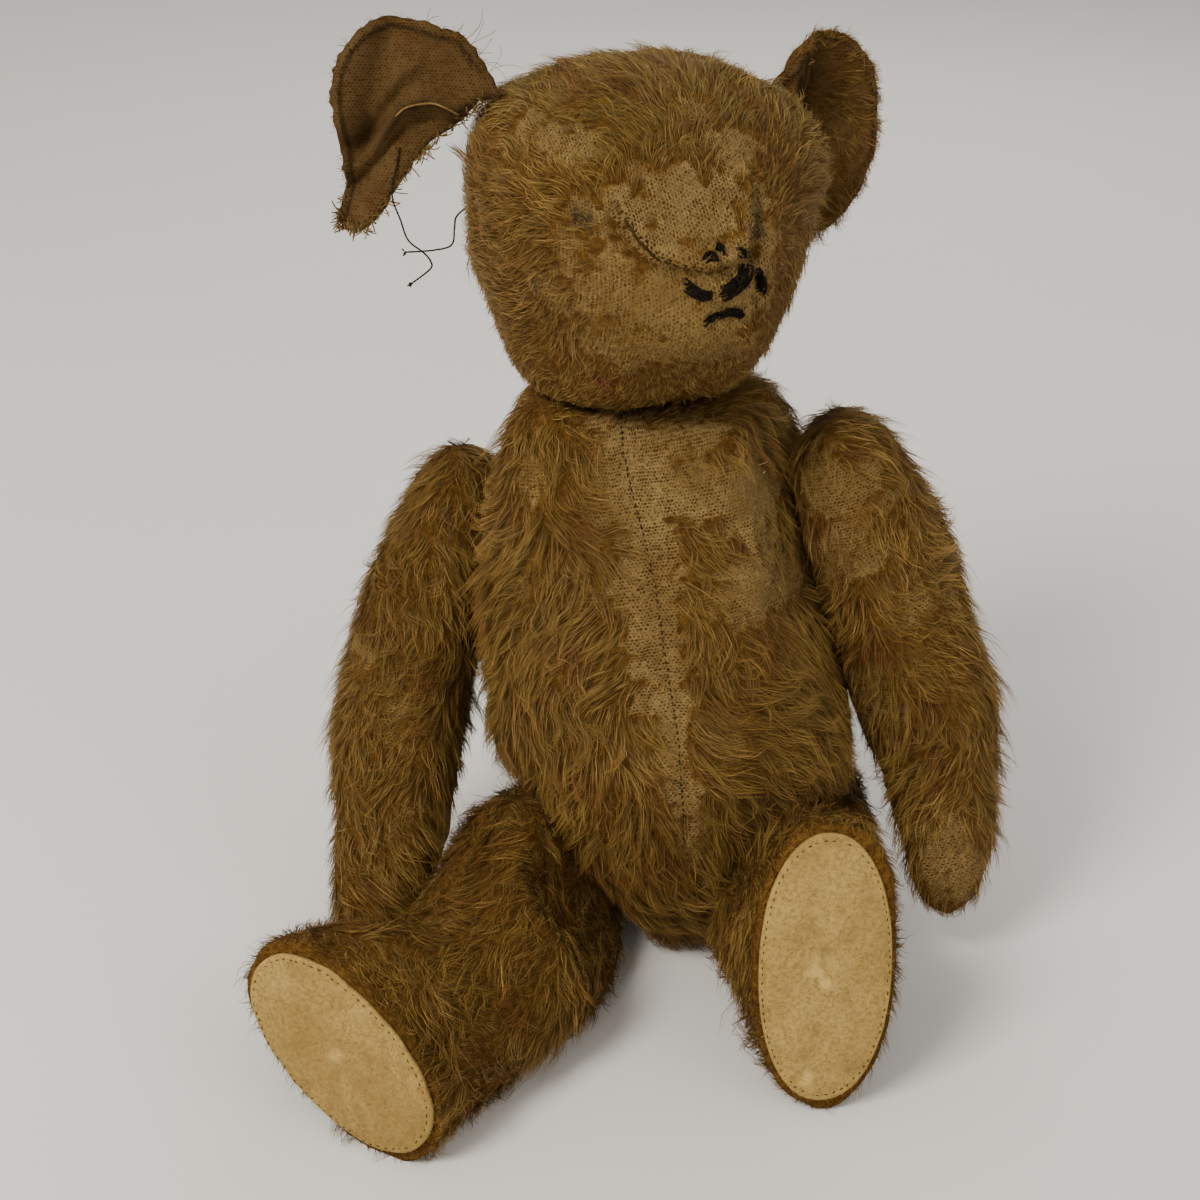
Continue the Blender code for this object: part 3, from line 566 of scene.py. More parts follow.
# Per body: (centre, reach, amount) in its own millimetres. 1 is bare cloth, and 1.25 is worn smooth.
WORN = {
    "torso": (
        ((-3, -30, 154), (9, 24, 15), 1.0),
        ((0, -42, 120), (7, 20, 36), 1.0),
        ((1, -50, 78), (4.5, 20, 31), 0.9),
        ((14, -33, 146), (17, 14, 6), 1.0),
        ((31, -26, 138), (8, 16, 10), 1.25),
        ((27, -38, 117), (12, 20, 7), 1.2),
        ((38, -27, 114), (6, 16, 7), 0.9),
        ((12, -30, 158), (12, 16, 5), 0.7),
        ((-30, -25, 152), (3.5, 12, 7), 0.6),
        ((-36, -33, 122), (3, 12, 4), 0.45),
        ((-30, -40, 104), (4, 12, 6), 0.4),
        ((-28, -42, 84), (6, 12, 4), 0.5),
        ((18, -46, 76), (4, 12, 6), 0.6),
        ((-22, -46, 62), (6, 12, 4), 0.35),
        ((0, 52, 120), (18, 16, 30), 0.55),
        ((-24, 44, 70), (9, 14, 12), 0.5),
        ((6, -46, 52), (4, 12, 6), 0.5),
    ),
    "head": (
        ((-7, -42, 65), (17, 14, 6.0), 0.95),
        ((12, -38, 73), (7, 12, 5), 0.85),
        ((-6, -48, 60), (12, 9, 5), 0.85),
        ((-2, -56, 47), (13, 15, 10), 1.0),
        ((-14, -50, 40), (10, 14, 10), 0.80),
        ((-6, -54, 31), (12, 12, 9), 0.74),
        ((-26, -40, 44), (8, 12, 8), 0.62),
        ((-22, -42, 28), (9, 12, 7), 0.55),
        ((-33, -36, 55), (4, 8, 5), 0.5),
        ((-38, -28, 38), (7, 10, 7), 0.5),
        ((-34, -18, 79), (5, 6, 4.0), 0.85),
        ((-28, -28, 75), (4.0, 7, 4.5), 0.75),
        ((-48, -4, 62), (2.5, 6, 12), 0.9),
        ((-46, -14, 44), (4, 6, 6), 0.45),
        ((-30, -37, 60), (4, 6, 5), 0.95),
        ((11, -49, 58), (6, 8, 6), 0.9),
        ((4, -46, 67), (6, 6, 4), 0.8),
        ((0, 45, 60), (20, 14, 16), 0.5),
    ),
    "arm_right": (
        ((8, -44, 28), (8, 7, 7), 0.8),
        ((2, -88, 25), (7, 15, 7), 0.6),
        ((0, 8, 24), (9, 7, 8), 0.5),
        ((14, -62, 14), (6, 10, 8), 0.5),
    ),
    "arm_left": (
        ((-15, 2, 19), (10, 9, 12), 0.75),
        ((-19, -14, 16), (6, 9, 10), 0.6),
        ((-6, -35, 27), (8, 8, 7), 0.8),
        ((-4, -77, 26), (6, 4, 6), 0.75),
        ((-19, -113, 20), (10, 13, 9), 0.85),
        ((-8, -95, 24), (4, 6, 5), 0.6),
        ((6, -22, 24), (8, 8, 8), 0.6),
        ((-16, -60, 10), (6, 10, 8), 0.45),
    ),
    "leg_right": (
        ((20, -66, 14), (6, 7, 8), 0.45),
        ((-10, -40, 30), (12, 14, 8), 0.4),
    ),
    "leg_left": (
        ((18, -30, 24), (8, 10, 8), 0.45),
        ((-10, -60, 30), (10, 12, 8), 0.4),
    ),
    "ear_right": (((-22, 0, 0), (30, 40, 30), 0.9),),
    "ear_left": (((4, 0, 14), (8, 12, 12), 0.95),),
}


def bareness(body, local):
    """0 under full pile to 1 where the pile is gone, with ragged edges."""
    ragged = 0.17 * RAGGED(local) + 0.15 * RAGGED_FINE(local)
    bare = 0.45 * ease(1.5, 2.3, PATCHY(local) + ragged)
    for centre, reach, amount in WORN[body]:
        off = off_centre(local, centre, reach)
        bare = np.maximum(bare, amount * ease(1.6, 0.7, off + 1.3 * ragged))
    if body == "head":
        off, _ = off_line(local[:, 0], local[:, 2], FACE_SEAM[:6])
        bare = np.maximum(bare, ease(3.4, 1.4, off) * ease(-20, -32, local[:, 1]))
    return bare


# Marks on the cloth, real ones and painted shade: (centre, reach, colour, strength).
# The darkest mark colour paints small dark dots and also the painted shade in seams and folds.
DARK_DOT_AND_SHADE, EYE_MARK, DULL_RED = (0.012, 0.006, 0.002), (0.055, 0.036, 0.018), (0.11, 0.035, 0.012)
STAINS_AND_SHADE = {
    "head": (
        ((-30, -37, 60.5), (2.8, 8, 4.6), EYE_MARK, 0.92),
        ((-32.2, -37, 60.5), (1.1, 6, 4.0), DARK_DOT_AND_SHADE, 0.9),
        ((11, -49, 58.5), (3.4, 8, 4.8), EYE_MARK, 0.85),
        ((-14.3, -53.7, 41.7), (0.9, 3, 0.8), DARK_DOT_AND_SHADE, 0.95),
        ((-24.6, -43.4, 37.1), (0.7, 3, 1.1), DARK_DOT_AND_SHADE, 0.95),
        ((2, -53, 24), (6, 7, 5), DULL_RED, 0.5),
        ((-4, -50, 28), (20, 20, 9), (0.15, 0.075, 0.015), 0.4),
        ((-12, -48, 38), (22, 20, 15), (0.19, 0.112, 0.028), 0.55),
    ),
    "torso": (
        ((-6.7, -17, 164.5), (1.9, 5, 1.4), (0.75, 0.36, 0.13), 0.95),
        # Reddish painted shade on both sides of the torso, where the arms meet it.
        ((-46, -10, 118), (8, 30, 26), DULL_RED, 0.45),
        ((47, -8, 128), (8, 30, 26), DULL_RED, 0.45),
    ),
}


# Marks on the two felt soles, in each leg's own axes.
PALE_MARK, GREY_MARK, ORANGE_DOT = (0.72, 0.50, 0.16), (0.26, 0.165, 0.05), (0.55, 0.26, 0.045)
SOLE_MARKS = {
    "left": (
        ((-17, -109, 10), (4.2, 9, 4.0), PALE_MARK, 0.6),
        ((-17.5, -109, 11), (2.4, 9, 2.2), GREY_MARK, 0.7),
        ((-12, -110, 12), (1.6, 9, 1.6), PALE_MARK, 0.8),
        ((15, -116, 15), (2.8, 9, 2.6), PALE_MARK, 0.8),
        ((16, -116, 12), (0.7, 9, 0.7), ORANGE_DOT, 0.8),
    ),
    "right": (
        ((10, -109, 30), (1.8, 9, 2.6), PALE_MARK, 0.6),
        ((-14, -112, 20), (22, 16, 18), (0.27, 0.165, 0.045), 0.5),
        ((14, -112, 38), (14, 16, 12), (0.29, 0.175, 0.045), 0.4),
    ),
}


# ---------------------------------------------------------------- skins

# Per body: the CAD nodes it is drawn round, the two axes its cloth map turns in, the axis it runs along,
# its radius, how lumpy its stuffing is, and how far it swells clear of its neighbours.
SKINS = {
    "torso": (("torso_cover_right", "torso_cover_left", "torso_stuffing"), (0, 1), 2, 46, 1.0, 0.6),
    "head": (("head_gusset", "head_side_right", "head_side_left", "head_stuffing"), (1, 2), 0, 50, 0.8, 0.3),
}
for side in ("right", "left"):
    arm = tuple(f"{part}_{side}" for part in ("arm_outer", "arm_inner", "arm_stuffing", "paw_pad"))
    leg = tuple(f"{part}_{side}" for part in ("leg_outer", "leg_inner", "leg_stuffing", "foot_pad"))
    SKINS[f"arm_{side}"] = (arm, (0, 2), 1, 19, 0.9, 3.2)
    SKINS[f"leg_{side}"] = (leg, (0, 2), 1, 22, 1.0, 3.6)
MIDDLE = {"torso": (0, 0, 0), "head": (0, 0, 41), "arm": (0, 0, ARM_CENTRE), "leg": (0, 0, LEG_CENTRE)}
CLOTH_VOXEL = 4.2 * MM
SWELL_CAP = 2.2 * MM  # the most that the cloth simulation may move a point

# Where slack stuffing has pushed a skin: (centre, reach, push), the push in world axes.
SAGS = {
    "head": (
        ((-46, -6, 36), (26, 44, 40), (4.5, 0, 0)),
        ((-10, -60, 6), (52, 34, 24), (0.5, 3.0, 4.0)),
        ((-46, -14, 10), (26, 60, 32), (7.0, 0, 1.5)),
        ((42, -14, 10), (26, 60, 34), (-5.0, 0, 1.0)),
        ((47, -4, 66), (14, 26, 20), (4.5, 0, 0)),
    ),
    "arm_right": (((0, -50, 14), (40, 45, 40), (-4.5, 0, 0)),),
    "arm_left": (((0, -88, 14), (40, 75, 40), (6.5, 0, 0)), ((0, -20, 14), (30, 30, 30), (2, 0, 0))),
    "leg_right": (((0, -52, 6), (44, 52, 30), (8, 0, -2)),),
    "leg_left": (((0, -95, 12), (50, 60, 60), (-8, 0, 0)),),
}
# The front seam's place across the torso by height, and the head gusset's half width from front to back.
SEAM_Z = (41, 53, 79, 98, 120, 135, 150, 162)
SEAM_X = (-0.9, 0.5, 2.1, 1.4, 1.1, -0.4, -2.9, -3.5)
GUSSET_Y = (-58, -54, -40, -12, 26, 52)
GUSSET_HALF = (5, 8, 20, 32, 24, 9)


def front_seam(z):
    return np.interp(z, SEAM_Z, SEAM_X)


def seam_distances(body, local):
    """Distances in millimetres from a body's sewn seams."""
    x, y, z = local.T
    if body == "torso":
        return np.where(y < 0, np.abs(x - front_seam(z)), np.abs(x))
    if body == "head":
        half = np.interp(y, GUSSET_Y, GUSSET_HALF)
        on_top = np.where((z > 40 - 0.2 * y) & (y > -30), np.abs(np.abs(x) - half), 99.0)
        return np.minimum(on_top, np.where(z < 30, np.abs(x), 99.0))
    if body.startswith("arm"):
        return np.abs(z - ARM_CENTRE)
    return np.abs(z - LEG_CENTRE + y * 0.09)


# The puckered seam over the muzzle, across and up the face.
FACE_SEAM = (
    (-22, 62), (-20, 57.5), (-16, 53), (-10, 50.8), (-5, 50.2), (1, 51.2), (6, 53.5), (9, 60), (12, 68),
)


EYES_AT = ((-30, 60.5), (11, 58.5))


def off_line(x, z, line):
    """Distance across the face from a line of (x, z) points, and whether a point is under it."""
    best, under = np.full(len(x), 99.0), np.zeros(len(x), bool)
    for (x0, z0), (x1, z1) in zip(line, line[1:]):
        run = np.array((x1 - x0, z1 - z0))
        t = np.clip(((x - x0) * run[0] + (z - z0) * run[1]) / (run @ run), 0, 1)
        dx, dz = x - x0 - t * run[0], z - z0 - t * run[1]
        off = np.hypot(dx, dz)
        nearer = off < best
        best = np.where(nearer, off, best)
        under = np.where(nearer, run[0] * dz - run[1] * dx < 0, under)
    return best, under


def face_relief(local):
    """The muzzle's puckered seam, nose end, side fold and empty eye places, in millimetres."""
    x, y, z = local.T
    off, under = off_line(x, z, FACE_SEAM)
    relief = 2.1 * bell(off, np.where(under, 1.1, 3.4))
    relief -= 1.3 * np.where(under, bell(off - 3.0, 1.7), 0)
    relief += 1.8 * ease(1.3, 0.7, np.hypot((x + 0.5) / 7.5, (z - 46.5) / 5.5))
    relief -= 1.6 * bell(x - 7.4, 1.3) * ease(30, 38, z) * ease(60, 52, z)
    relief += 0.7 * bell(x - 5.4, 1.0) * ease(34, 40, z) * ease(60, 54, z)
    relief += 0.55 * np.sin(1.7 * x + 0.9 * z) * ease(1.2, 0.5, np.hypot(x / 6, (z - 48.5) / 4.5))
    for ex, ez in EYES_AT:
        relief -= 1.5 * np.exp(-((x - ex) ** 2 + (z - ez) ** 2) / 9)
    return relief * ease(-20, -32, y)


def painted_seam_shade(body, local):
    """Painted shade on the face's cloth: under the muzzle seam's raised ledge and along the side fold."""
    if body != "head":
        return None
    x, y, z = local.T
    off, under = off_line(x, z, FACE_SEAM[:7])
    dark = 0.35 * bell(off - np.where(under, 1.2, 0.0), 0.9)
    dark = np.maximum(dark, 0.35 * bell(x - 7.6, 0.9) * ease(32, 38, z) * ease(58, 50, z))
    return dark * ease(-20, -32, y)


def hold_back(body, points):
    """Keeps a skin on its own side of its joint planes, near the joints, and above the floor."""
    clear = 0.3 * MM
    for joint in JOINT_OF.values():
        facts = JOINTS[joint]
        if body == "torso" and joint.startswith("hip"):
            continue
        if body not in ("torso", facts["child"]):
            continue
        axis = np.array(facts["axis"])
        from_pin = points - np.array(facts["pos_m"])
        past = from_pin @ axis
        reach = np.linalg.norm(from_pin - np.outer(past, axis), axis=1)
        near = 1 if body in ("torso", "head") else ease(60 * MM, 42 * MM, reach)
        past = past + clear if body == "torso" else clear - past
        move = np.maximum(past, 0) * near
        points = points + np.outer(move, -axis if body == "torso" else axis)
    points[:, 2] = np.maximum(points[:, 2], 0.0)
    return points


# Per foot: its felt's middle across and up its sole, half its length and width, and its turn in degrees.
SOLES = {"leg_right": (30.3, -9.6, 31.2, 18.2, 118.0), "leg_left": (11.5, 16.0, 38.3, 17.6, 102.9)}
OVAL = 2.15  # the power of a sole's oval: 2 is an ellipse
SOLE_RIM = 2.3  # cloth round the felt


def sole_axes(body):
    """A sole's middle, its two flat directions and the way it faces, in the leg's own axes."""
    tilt = math.radians(SOLE_TILT)
    facing = np.array((math.sin(tilt) * front_sign(body), -math.cos(tilt), 0))
    return np.array((0, -SOLE_AT, 0)), np.array((0, 0, 1.0)), np.cross(facing, (0, 0, 1.0)), facing


def in_sole(body, local):
    origin, across, up, facing = sole_axes(body)
    off = local - origin
    return np.stack((off @ across, off @ up), 1), off @ facing


def sole_outline(body, beyond=0.0):
    """A felt sole's middle, and its radii by angle: an oval, with beyond added round it."""
    across, up, long, wide, turn = SOLES[body]

    def radii(angles):
        along = np.abs(np.cos(angles - math.radians(turn))) / (long + beyond)
        aside = np.abs(np.sin(angles - math.radians(turn))) / (wide + beyond)
        return (along**OVAL + aside**OVAL) ** (-1 / OVAL)

    return np.array((across, up)), radii


def ring_outline(flat):
    """The middle of a ring of points, and its radii by angle."""
    bins = 28
    middle = (flat.max(0) + flat.min(0)) / 2
    angle = np.arctan2(*(flat - middle).T[::-1])
    radius = np.linalg.norm(flat - middle, axis=1)
    slot = ((angle / (2 * math.pi)) % 1 * bins).astype(int)
    levels = np.array([np.percentile(radius[slot == k], 80) for k in range(bins)])
    levels = (np.roll(levels, 1) + 2 * levels + np.roll(levels, -1)) / 4
    turns = (np.arange(-1, bins + 1) + 0.5) / bins
    around = np.r_[levels[-1], levels, levels[0]]
    return middle, lambda angles: np.interp((angles / (2 * math.pi)) % 1, turns, around)


def shape_foot(body, local):
    """Draws a foot to its sole's oval, and its rounded end out to a crisp rim round the felt."""
    origin, across, up, facing = sole_axes(body)
    flat, depth = in_sole(body, local)
    middle, present = ring_outline(flat[(depth > -14) & (depth < -6)])
    centre, wanted = sole_outline(body, SOLE_RIM)
    off = flat - middle
    angle = np.arctan2(off[:, 1], off[:, 0])
    share = ease(-62, -14, depth)
    off *= (1 + share * (wanted(angle) / present(angle) - 1))[:, None]
    radius = np.linalg.norm(off, axis=1)
    inner = np.clip(radius / wanted(angle), 1e-3, 1)
    near = ease(-10, -4, depth)
    off *= np.clip(1 + near * (wanted(angle) * inner**0.5 / np.maximum(radius, 1e-3) - 1), 1, 3)[:, None]
    flat = middle + (centre - middle) * share[:, None] + off
    settled = depth + near * (-1.6 - 1.1 * inner**6 - depth)
    return origin + np.outer(flat[:, 0], across) + np.outer(flat[:, 1], up) + np.outer(settled, facing)


def base_skin(body):
    """A body's soft shell: its CAD solids as one smooth skin, filled with stuffing."""
    made = cad_union(f"{body}_skin", SKINS[body][0])
    modify(made, "REMESH", mode="VOXEL", voxel_size=CLOTH_VOXEL)
    keep_largest(made.data)
    modify(made, "SMOOTH", iterations=4, factor=0.5)
    inflate(made, SWELL_CAP)
    finer = 2 if body == "head" else 1
    modify(made, "SUBSURF", levels=finer, render_levels=finer)
    return made


def finish_skin(body, made, others, material):
    """Gives a skin its sags, lumps, seams, face and feet, and everything that its material reads."""
    nodes, around, along, radius, lumps, swell = SKINS[body]
    axes = AXES[body]
    points = coordinates(made.data)
    normals = vertex_normals(made.data)
    local = axes.inward(points)
    room = room_for(points, others, 16 * MM) / MM
    free = ease(2, 14, room)
    points += normals * (swell * free * MM)[:, None]
    for centre, reach, push in SAGS.get(body, ()):
        off = off_centre(local, centre, reach)
        share = ease(1.2, 0.3, off) * (1 if body == "head" else ease(0.5, 9, room))
        points += np.outer(share, np.array(push) * MM)
    if body == "head":
        points += normals * (face_relief(local) * MM)[:, None]
    points += normals * ((0.6 * LUMPS(local) + 0.24 * LUMPS_FINE(local)) * lumps * free * MM)[:, None]
    points -= normals * (1.1 * bell(seam_distances(body, local), 1.8) * MM)[:, None]
    if body.startswith("leg"):
        points = axes.outward(shape_foot(body, axes.inward(points)))
    points = hold_back(body, points)
    set_coordinates(made.data, points)
    local = axes.inward(points)
    laid_out = local - np.array(MIDDLE[body.split("_")[0]])
    if body == "head":
        laid_out[:, 0] = radius * np.arcsin(np.clip(laid_out[:, 0] / radius, -0.98, 0.98))
    cylinder_map(made.data, laid_out, around, along, radius)
    set_bare(made.data, bareness(body, local))
    set_stain(made.data, local, STAINS_AND_SHADE.get(body, ()), painted_seam_shade(body, local))
    made.data.materials.append(material)
    belong(made, body, "mohair", *(n for n in nodes if "pad" not in n))


# ---------------------------------------------------------------- ears

# Outlines across and up from where each ear is sewn on.
TORN_EAR = (
    (0.0, 0.0), (-5.3, -1.4), (-9.3, -5.6), (-18.4, -12.4), (-22.3, -17.7), (-26.8, -23.8), (-31.3, -31.7),
    (-37.3, -35.7), (-42.3, -33.1), (-41.6, -29.0), (-40.6, -21.1), (-42.8, -10.8), (-43.8, -0.6),
    (-41.1, 10.0), (-30.8, 18.7), (-16.3, 16.2), (-8.5, 13.0),
)
STANDING_EAR = (
    (-3, 14), (-3, 6), (-3, -2), (-3, -12), (-2, -22), (5, -28), (13, -30), (22, -26), (29, -16),
    (32.5, -5), (32, 6), (29, 17), (22, 25), (12, 27), (3, 22),
)
# The hanging ear's crest line.
CREST_X = (-38, -33, -26, -20, -12, -4)
CREST_Z = (-20, -15, -5, -2.4, -4.4, -0.5)


def torn_bend(x, z):
    """The hanging ear's creases: a fold down its middle, a crest below it, and a curled lower edge."""
    bend = 5.0 * bell(x + 33 - 0.25 * z, 4.5)
    bend += -0.0035 * (x + 20) ** 2 - 0.004 * np.minimum(z, 0) ** 2
    above = z - np.interp(x, CREST_X, CREST_Z)
    bend += -3.0 * bell(above, 2.2) + 3.6 * bell(above - 5.5, 3.2) * ease(-14, -25, x)
    return bend + 2.0 * bell(above + 4.0, 2.2)


def standing_bend(x, z):
    """The standing ear's cup: a crumpled front corner, and a deep crease behind it."""
    bend = 4.0 * np.sin(math.pi * np.clip(x / 30, 0, 1)) - 0.006 * x * x - 0.006 * z * z
    crease = 9.5 + 1.5 * np.sin(z / 9)
    bend += 8.0 * bell(x - crease, 3.2) * ease(30, 20, np.abs(z + 3))
    bend += -6.0 * bell(x - 4.0 - 0.05 * z, 4.0) * ease(-8, 6, z)
    return bend + 1.6 * bell(x - 3.5, 0.8) * ease(6, 12, z)


def ear_axes(place, turn):
    """An ear's own axes, from its place in the head's axes."""
    return Axes(Matrix.Translation(AXES["head"].matrix @ Vector([c * MM for c in place])) @ turn.to_4x4())


TORN_TURN = Matrix.Rotation(math.radians(-10), 3, "X")
CUPPED = Matrix(((0.97, 0.2, 0), (-0.2, 0.97, 0), (0, 0, 1))).transposed()
STANDING_TURN = AXES["head"].matrix.to_3x3() @ CUPPED
AXES["ear_right"] = ear_axes((-35.4, 8.0, 82.6), TORN_TURN)
AXES["ear_left"] = ear_axes((46, 6, 65), STANDING_TURN)
# Each ear's outline, middle, bend and how frayed its edge is.
EARS = {
    "ear_right": (TORN_EAR, (-30, 1), torn_bend, 0.55),
    "ear_left": (STANDING_EAR, (16, 0), standing_bend, 0.15),
}


EAR_CURL = 1.12  # a cut ear's width and length against its bent outline's
EAR_SPREAD = 1.15  # its cut area against the area inside that outline


def painted_ear_shade(key, points, edge):
    """Painted shade on an ear's cloth: in the groove along its seam, in its folds and in the standing ear's
    crease.
    """
    x, _, z = points.T
    off, _ = off_line(x, z, list(map(tuple, np.vstack((edge, edge[:1]))[::4])))
    dark = 0.75 * bell(off - 2.1, 0.55)
    if key == "ear_right":
        dark *= np.maximum(ease(4, 9, z), ease(-36, -39, x))
        above = z - np.interp(x, CREST_X, CREST_Z)
        return np.maximum(dark, 0.6 * bell(above, 1.4) * ease(-34, -28, x))
    slit = bell(x - 3.4 - 0.05 * z, 0.7) * ease(2, 7, z)
    return np.maximum(dark * 0.7, 0.9 * slit)


def build_ear(key, layer, material, seed):
    """One cloth layer of an ear: a closed sheet between two bent faces."""
    outline, middle, bend, frayed = EARS[key]
    draw = np.random.default_rng(seed)
    count, rings = 140, 24
    edge = rounded(outline, count)
    middle = np.array(middle, float)
    beyond = 0.3 if layer == "back" else 0
    edge += unit(edge - middle) * (frayed * draw.normal(0, 0.55, (count, 1)) + beyond)
    low, high = (-1.3, -0.2) if layer == "front" else (0.2, 1.3)
    points = []
    for level in (low, high):
        for ring in range(rings):
            x, z = (middle + (edge - middle) * (1 - ring / rings)).T
            local = np.stack((x, 0 * x, z), 1)
            thin = level * (0.45 + 0.55 * ease(0, 0.12, ring / rings))
            y = bend(x, z) + thin + 0.30 * RAGGED(local) + 0.10 * RAGGED_FINE(local)
            points.append(np.stack((x, y, z), 1))
        points.append(np.array([(middle[0], bend(*middle) + level, middle[1])]))
    points = np.concatenate(points)
    made = closed_sheet(f"{key}_cloth_{layer}", AXES[key].outward(points), count, rings, material)
    plane_map(made.data, points * EAR_CURL, [0, 2])
    bare = 1.02 + 0 * points[:, 0] if key == "ear_right" else 0.62 + 0.4 * ease(9, 5, points[:, 0])
    set_bare(made.data, bare - 0.22 * ease(0.2, 1.6, PATCHY(points)) - 0.6 * (layer == "back"))
    set_stain(made.data, points, (), painted_ear_shade(key, points, edge))
    belong(made, key, "mohair", f"{key}_{layer}")
    held = "hung" if key == "ear_right" else "stretched"
    return made, held, edge.max(0) - edge.min(0), area_inside(edge)


# ---------------------------------------------------------------- pile

class Surface:
    """Sampling and nearest points of a finished skin."""

    def __init__(self, made):
        mesh = made.data
        mesh.calc_loop_triangles()
        self.points = coordinates(mesh)
        self.normals = vertex_normals(mesh)
        self.tris = read(mesh.loop_triangles, "vertices", width=3)
        a, b, c = (self.points[self.tris[:, k]] for k in range(3))
        self.areas = np.linalg.norm(np.cross(b - a, c - a), axis=1) / 2
        self.tree = BVHTree.FromPolygons(self.points.tolist(), self.tris.tolist())

    def sample(self, count, draw):
        pick = draw.choice(len(self.tris), count, p=self.areas / self.areas.sum())
        u, v = draw.random((2, count))
        over = u + v > 1
        u[over], v[over] = 1 - u[over], 1 - v[over]
        shares = np.stack((1 - u - v, u, v), 1)[:, :, None]
        corners = self.tris[pick]
        return (self.points[corners] * shares).sum(1), unit((self.normals[corners] * shares).sum(1))

    def settle(self, points):
        """The nearest surface point and its normal for each point."""
        found = [self.tree.find_nearest(p) for p in points]
        return np.array([f[0] for f in found]), np.array([f[1] for f in found])


def room_for(points, others, most):
    """How far each point is from the nearest other skin, up to most; 0 if it is inside one."""
    room = np.full(len(points), most)
    for other in others:
        for k, p in enumerate(points):
            near, normal, _, distance = other.tree.find_nearest(p, most)
            if near is None:
                continue
            inside = (Vector(p) - near).dot(normal) < 0
            room[k] = min(room[k], 0.0 if inside else distance)
    return room


def grow_locks(axes, surface, others, style, draw):
    """Paths of the locks: each creeps over the skin along the flow, and lifts toward its tip."""
    roots, root_normals = surface.sample(style["locks"], draw)
    steps = 5
    local = axes.inward(roots)
    length = style["length"] * (1 + 0.14 * PATCHY(local)) * draw.uniform(0.75, 1.25, len(local)) * MM
    length *= style["trim"](local)
    room = room_for(roots, others, 9 * MM)
    length *= np.clip(room / (7 * MM), 0.12, 1)
    angle = 0.46 * SWIRL(local) + 0.22 * SWIRL_FINE(local) + draw.normal(0, style["wild"], len(local))
    curl = draw.normal(0, 0.20, len(local)) + 0.16 * SWIRL(local + 19)
    astray = draw.random(len(local)) < 0.03
    length[astray] *= 1.2
    lift = draw.uniform(*style["lift"], len(local)) ** 1.4 + 0.3 * astray
    lift *= np.clip(room / (5 * MM), 0.1, 1)
    paths = [roots]
    flat, normal = roots, root_normals
    heading = tangent(axes.aim(style["flow"](local)), normal)
    for k in range(1, steps):
        ahead = tangent(heading, normal)
        side = np.cross(normal, ahead)
        heading = ahead * np.cos(angle)[:, None] + side * np.sin(angle)[:, None]
        flat, normal = surface.settle(flat + heading * (length / (steps - 1))[:, None])
        angle = curl
        t = k / (steps - 1)
        paths.append(flat + normal * (lift * length * t * (1.4 - 0.5 * t))[:, None])
    return np.stack(paths, 1)


def grow(name, key, surface, others, style, material, seed):
    """Pile on one skin: coats of tapered ribbons that keep to the locks they are in."""
    draw = np.random.default_rng(seed)
    axes = AXES[key]
    paths = grow_locks(axes, surface, others, style, draw)
    steps = paths.shape[1]
    paths[:, :, 2] = np.maximum(paths[:, :, 2], 0.4 * MM)
    index = KDTree(len(paths))
    for k, p in enumerate(paths[:, 0]):
        index.insert(p, k)
    index.balance()
    for coat, strands, reach, shade, bends in style["coats"]:
        roots, normals = surface.sample(int(strands * 2.2), draw)
        local = axes.inward(roots)
        bare = bareness(key, local)
        keep = draw.random(len(roots)) > np.clip(bare, 0, 0.95) ** 0.8
        keep &= style["skip"](local, normals @ axes.turn) < 0.5
        roots, normals, bare, local = (a[keep][:strands] for a in (roots, normals, bare, local))
        lock = np.array([index.find(p)[1] for p in roots])
        count = len(roots)
        share = reach * draw.uniform(0.55, 1.15, count) * (1 - 0.74 * ease(0.1, 0.8, bare))
        gather = draw.uniform(*style["gather"], count)
        spread = roots - paths[lock, 0]
        frizz = draw.normal(0, 0.70 * MM, (count, 3)) * share[:, None]
        lines = []
        for t in np.linspace(0, 1, bends + 2):
            at = np.clip(t * share, 0, 1.2) * (steps - 1)
            low = np.minimum(at.astype(int), steps - 2)
            part = (at - low)[:, None]
            guide = paths[lock, low] * (1 - part) + paths[lock, low + 1] * part
            hold = (1 - gather * (t * share) ** 0.8)[:, None]
            lines.append(guide + spread * hold + frizz * t)
        lines = np.stack(lines, 1)
        lines[:, 0] = roots - normals * 0.15 * MM
        lines[:, 1:] = np.clip(lines[:, 1:], *ROOM)
        roll = draw.normal(0, 0.8, count)
        runs = unit(np.gradient(lines, axis=1))
        across = unit(np.cross(runs, normals[:, None]))
        other = np.cross(across, runs)
        sides = across * np.cos(roll)[:, None, None] + other * np.sin(roll)[:, None, None]
        width = style["width"] * draw.uniform(0.7, 1.3, count) * MM
        tints = strand_colours(local, lock, len(paths), draw, style, bare, bends) * shade * style["shade"]
        made = ribbons(f"{name}_{coat}", lines, sides, width, tints, material)
        belong(made, key, "mohair")


# How many broken hairs stand on each skin's worn cloth.
FUZZ = {
    "torso": 9000, "head": 13000, "arm_right": 3500, "arm_left": 5500, "leg_right": 2500, "leg_left": 2500,
}
# Short hairs' depth of root, length, colour, spread of tone, tone at root and tip, width, and slot.
CLOTH_HAIRS = (0.1, (0.8, 2.6), CLOTH, (0.32, 0.95), (0.6, 1.1), (0.10, 0.18), "mohair")
FELT_HAIRS = (0.05, (0.6, 1.8), FELT, (0.55, 1.05), (0.9, 1.0), (0.07, 0.13), "felt")


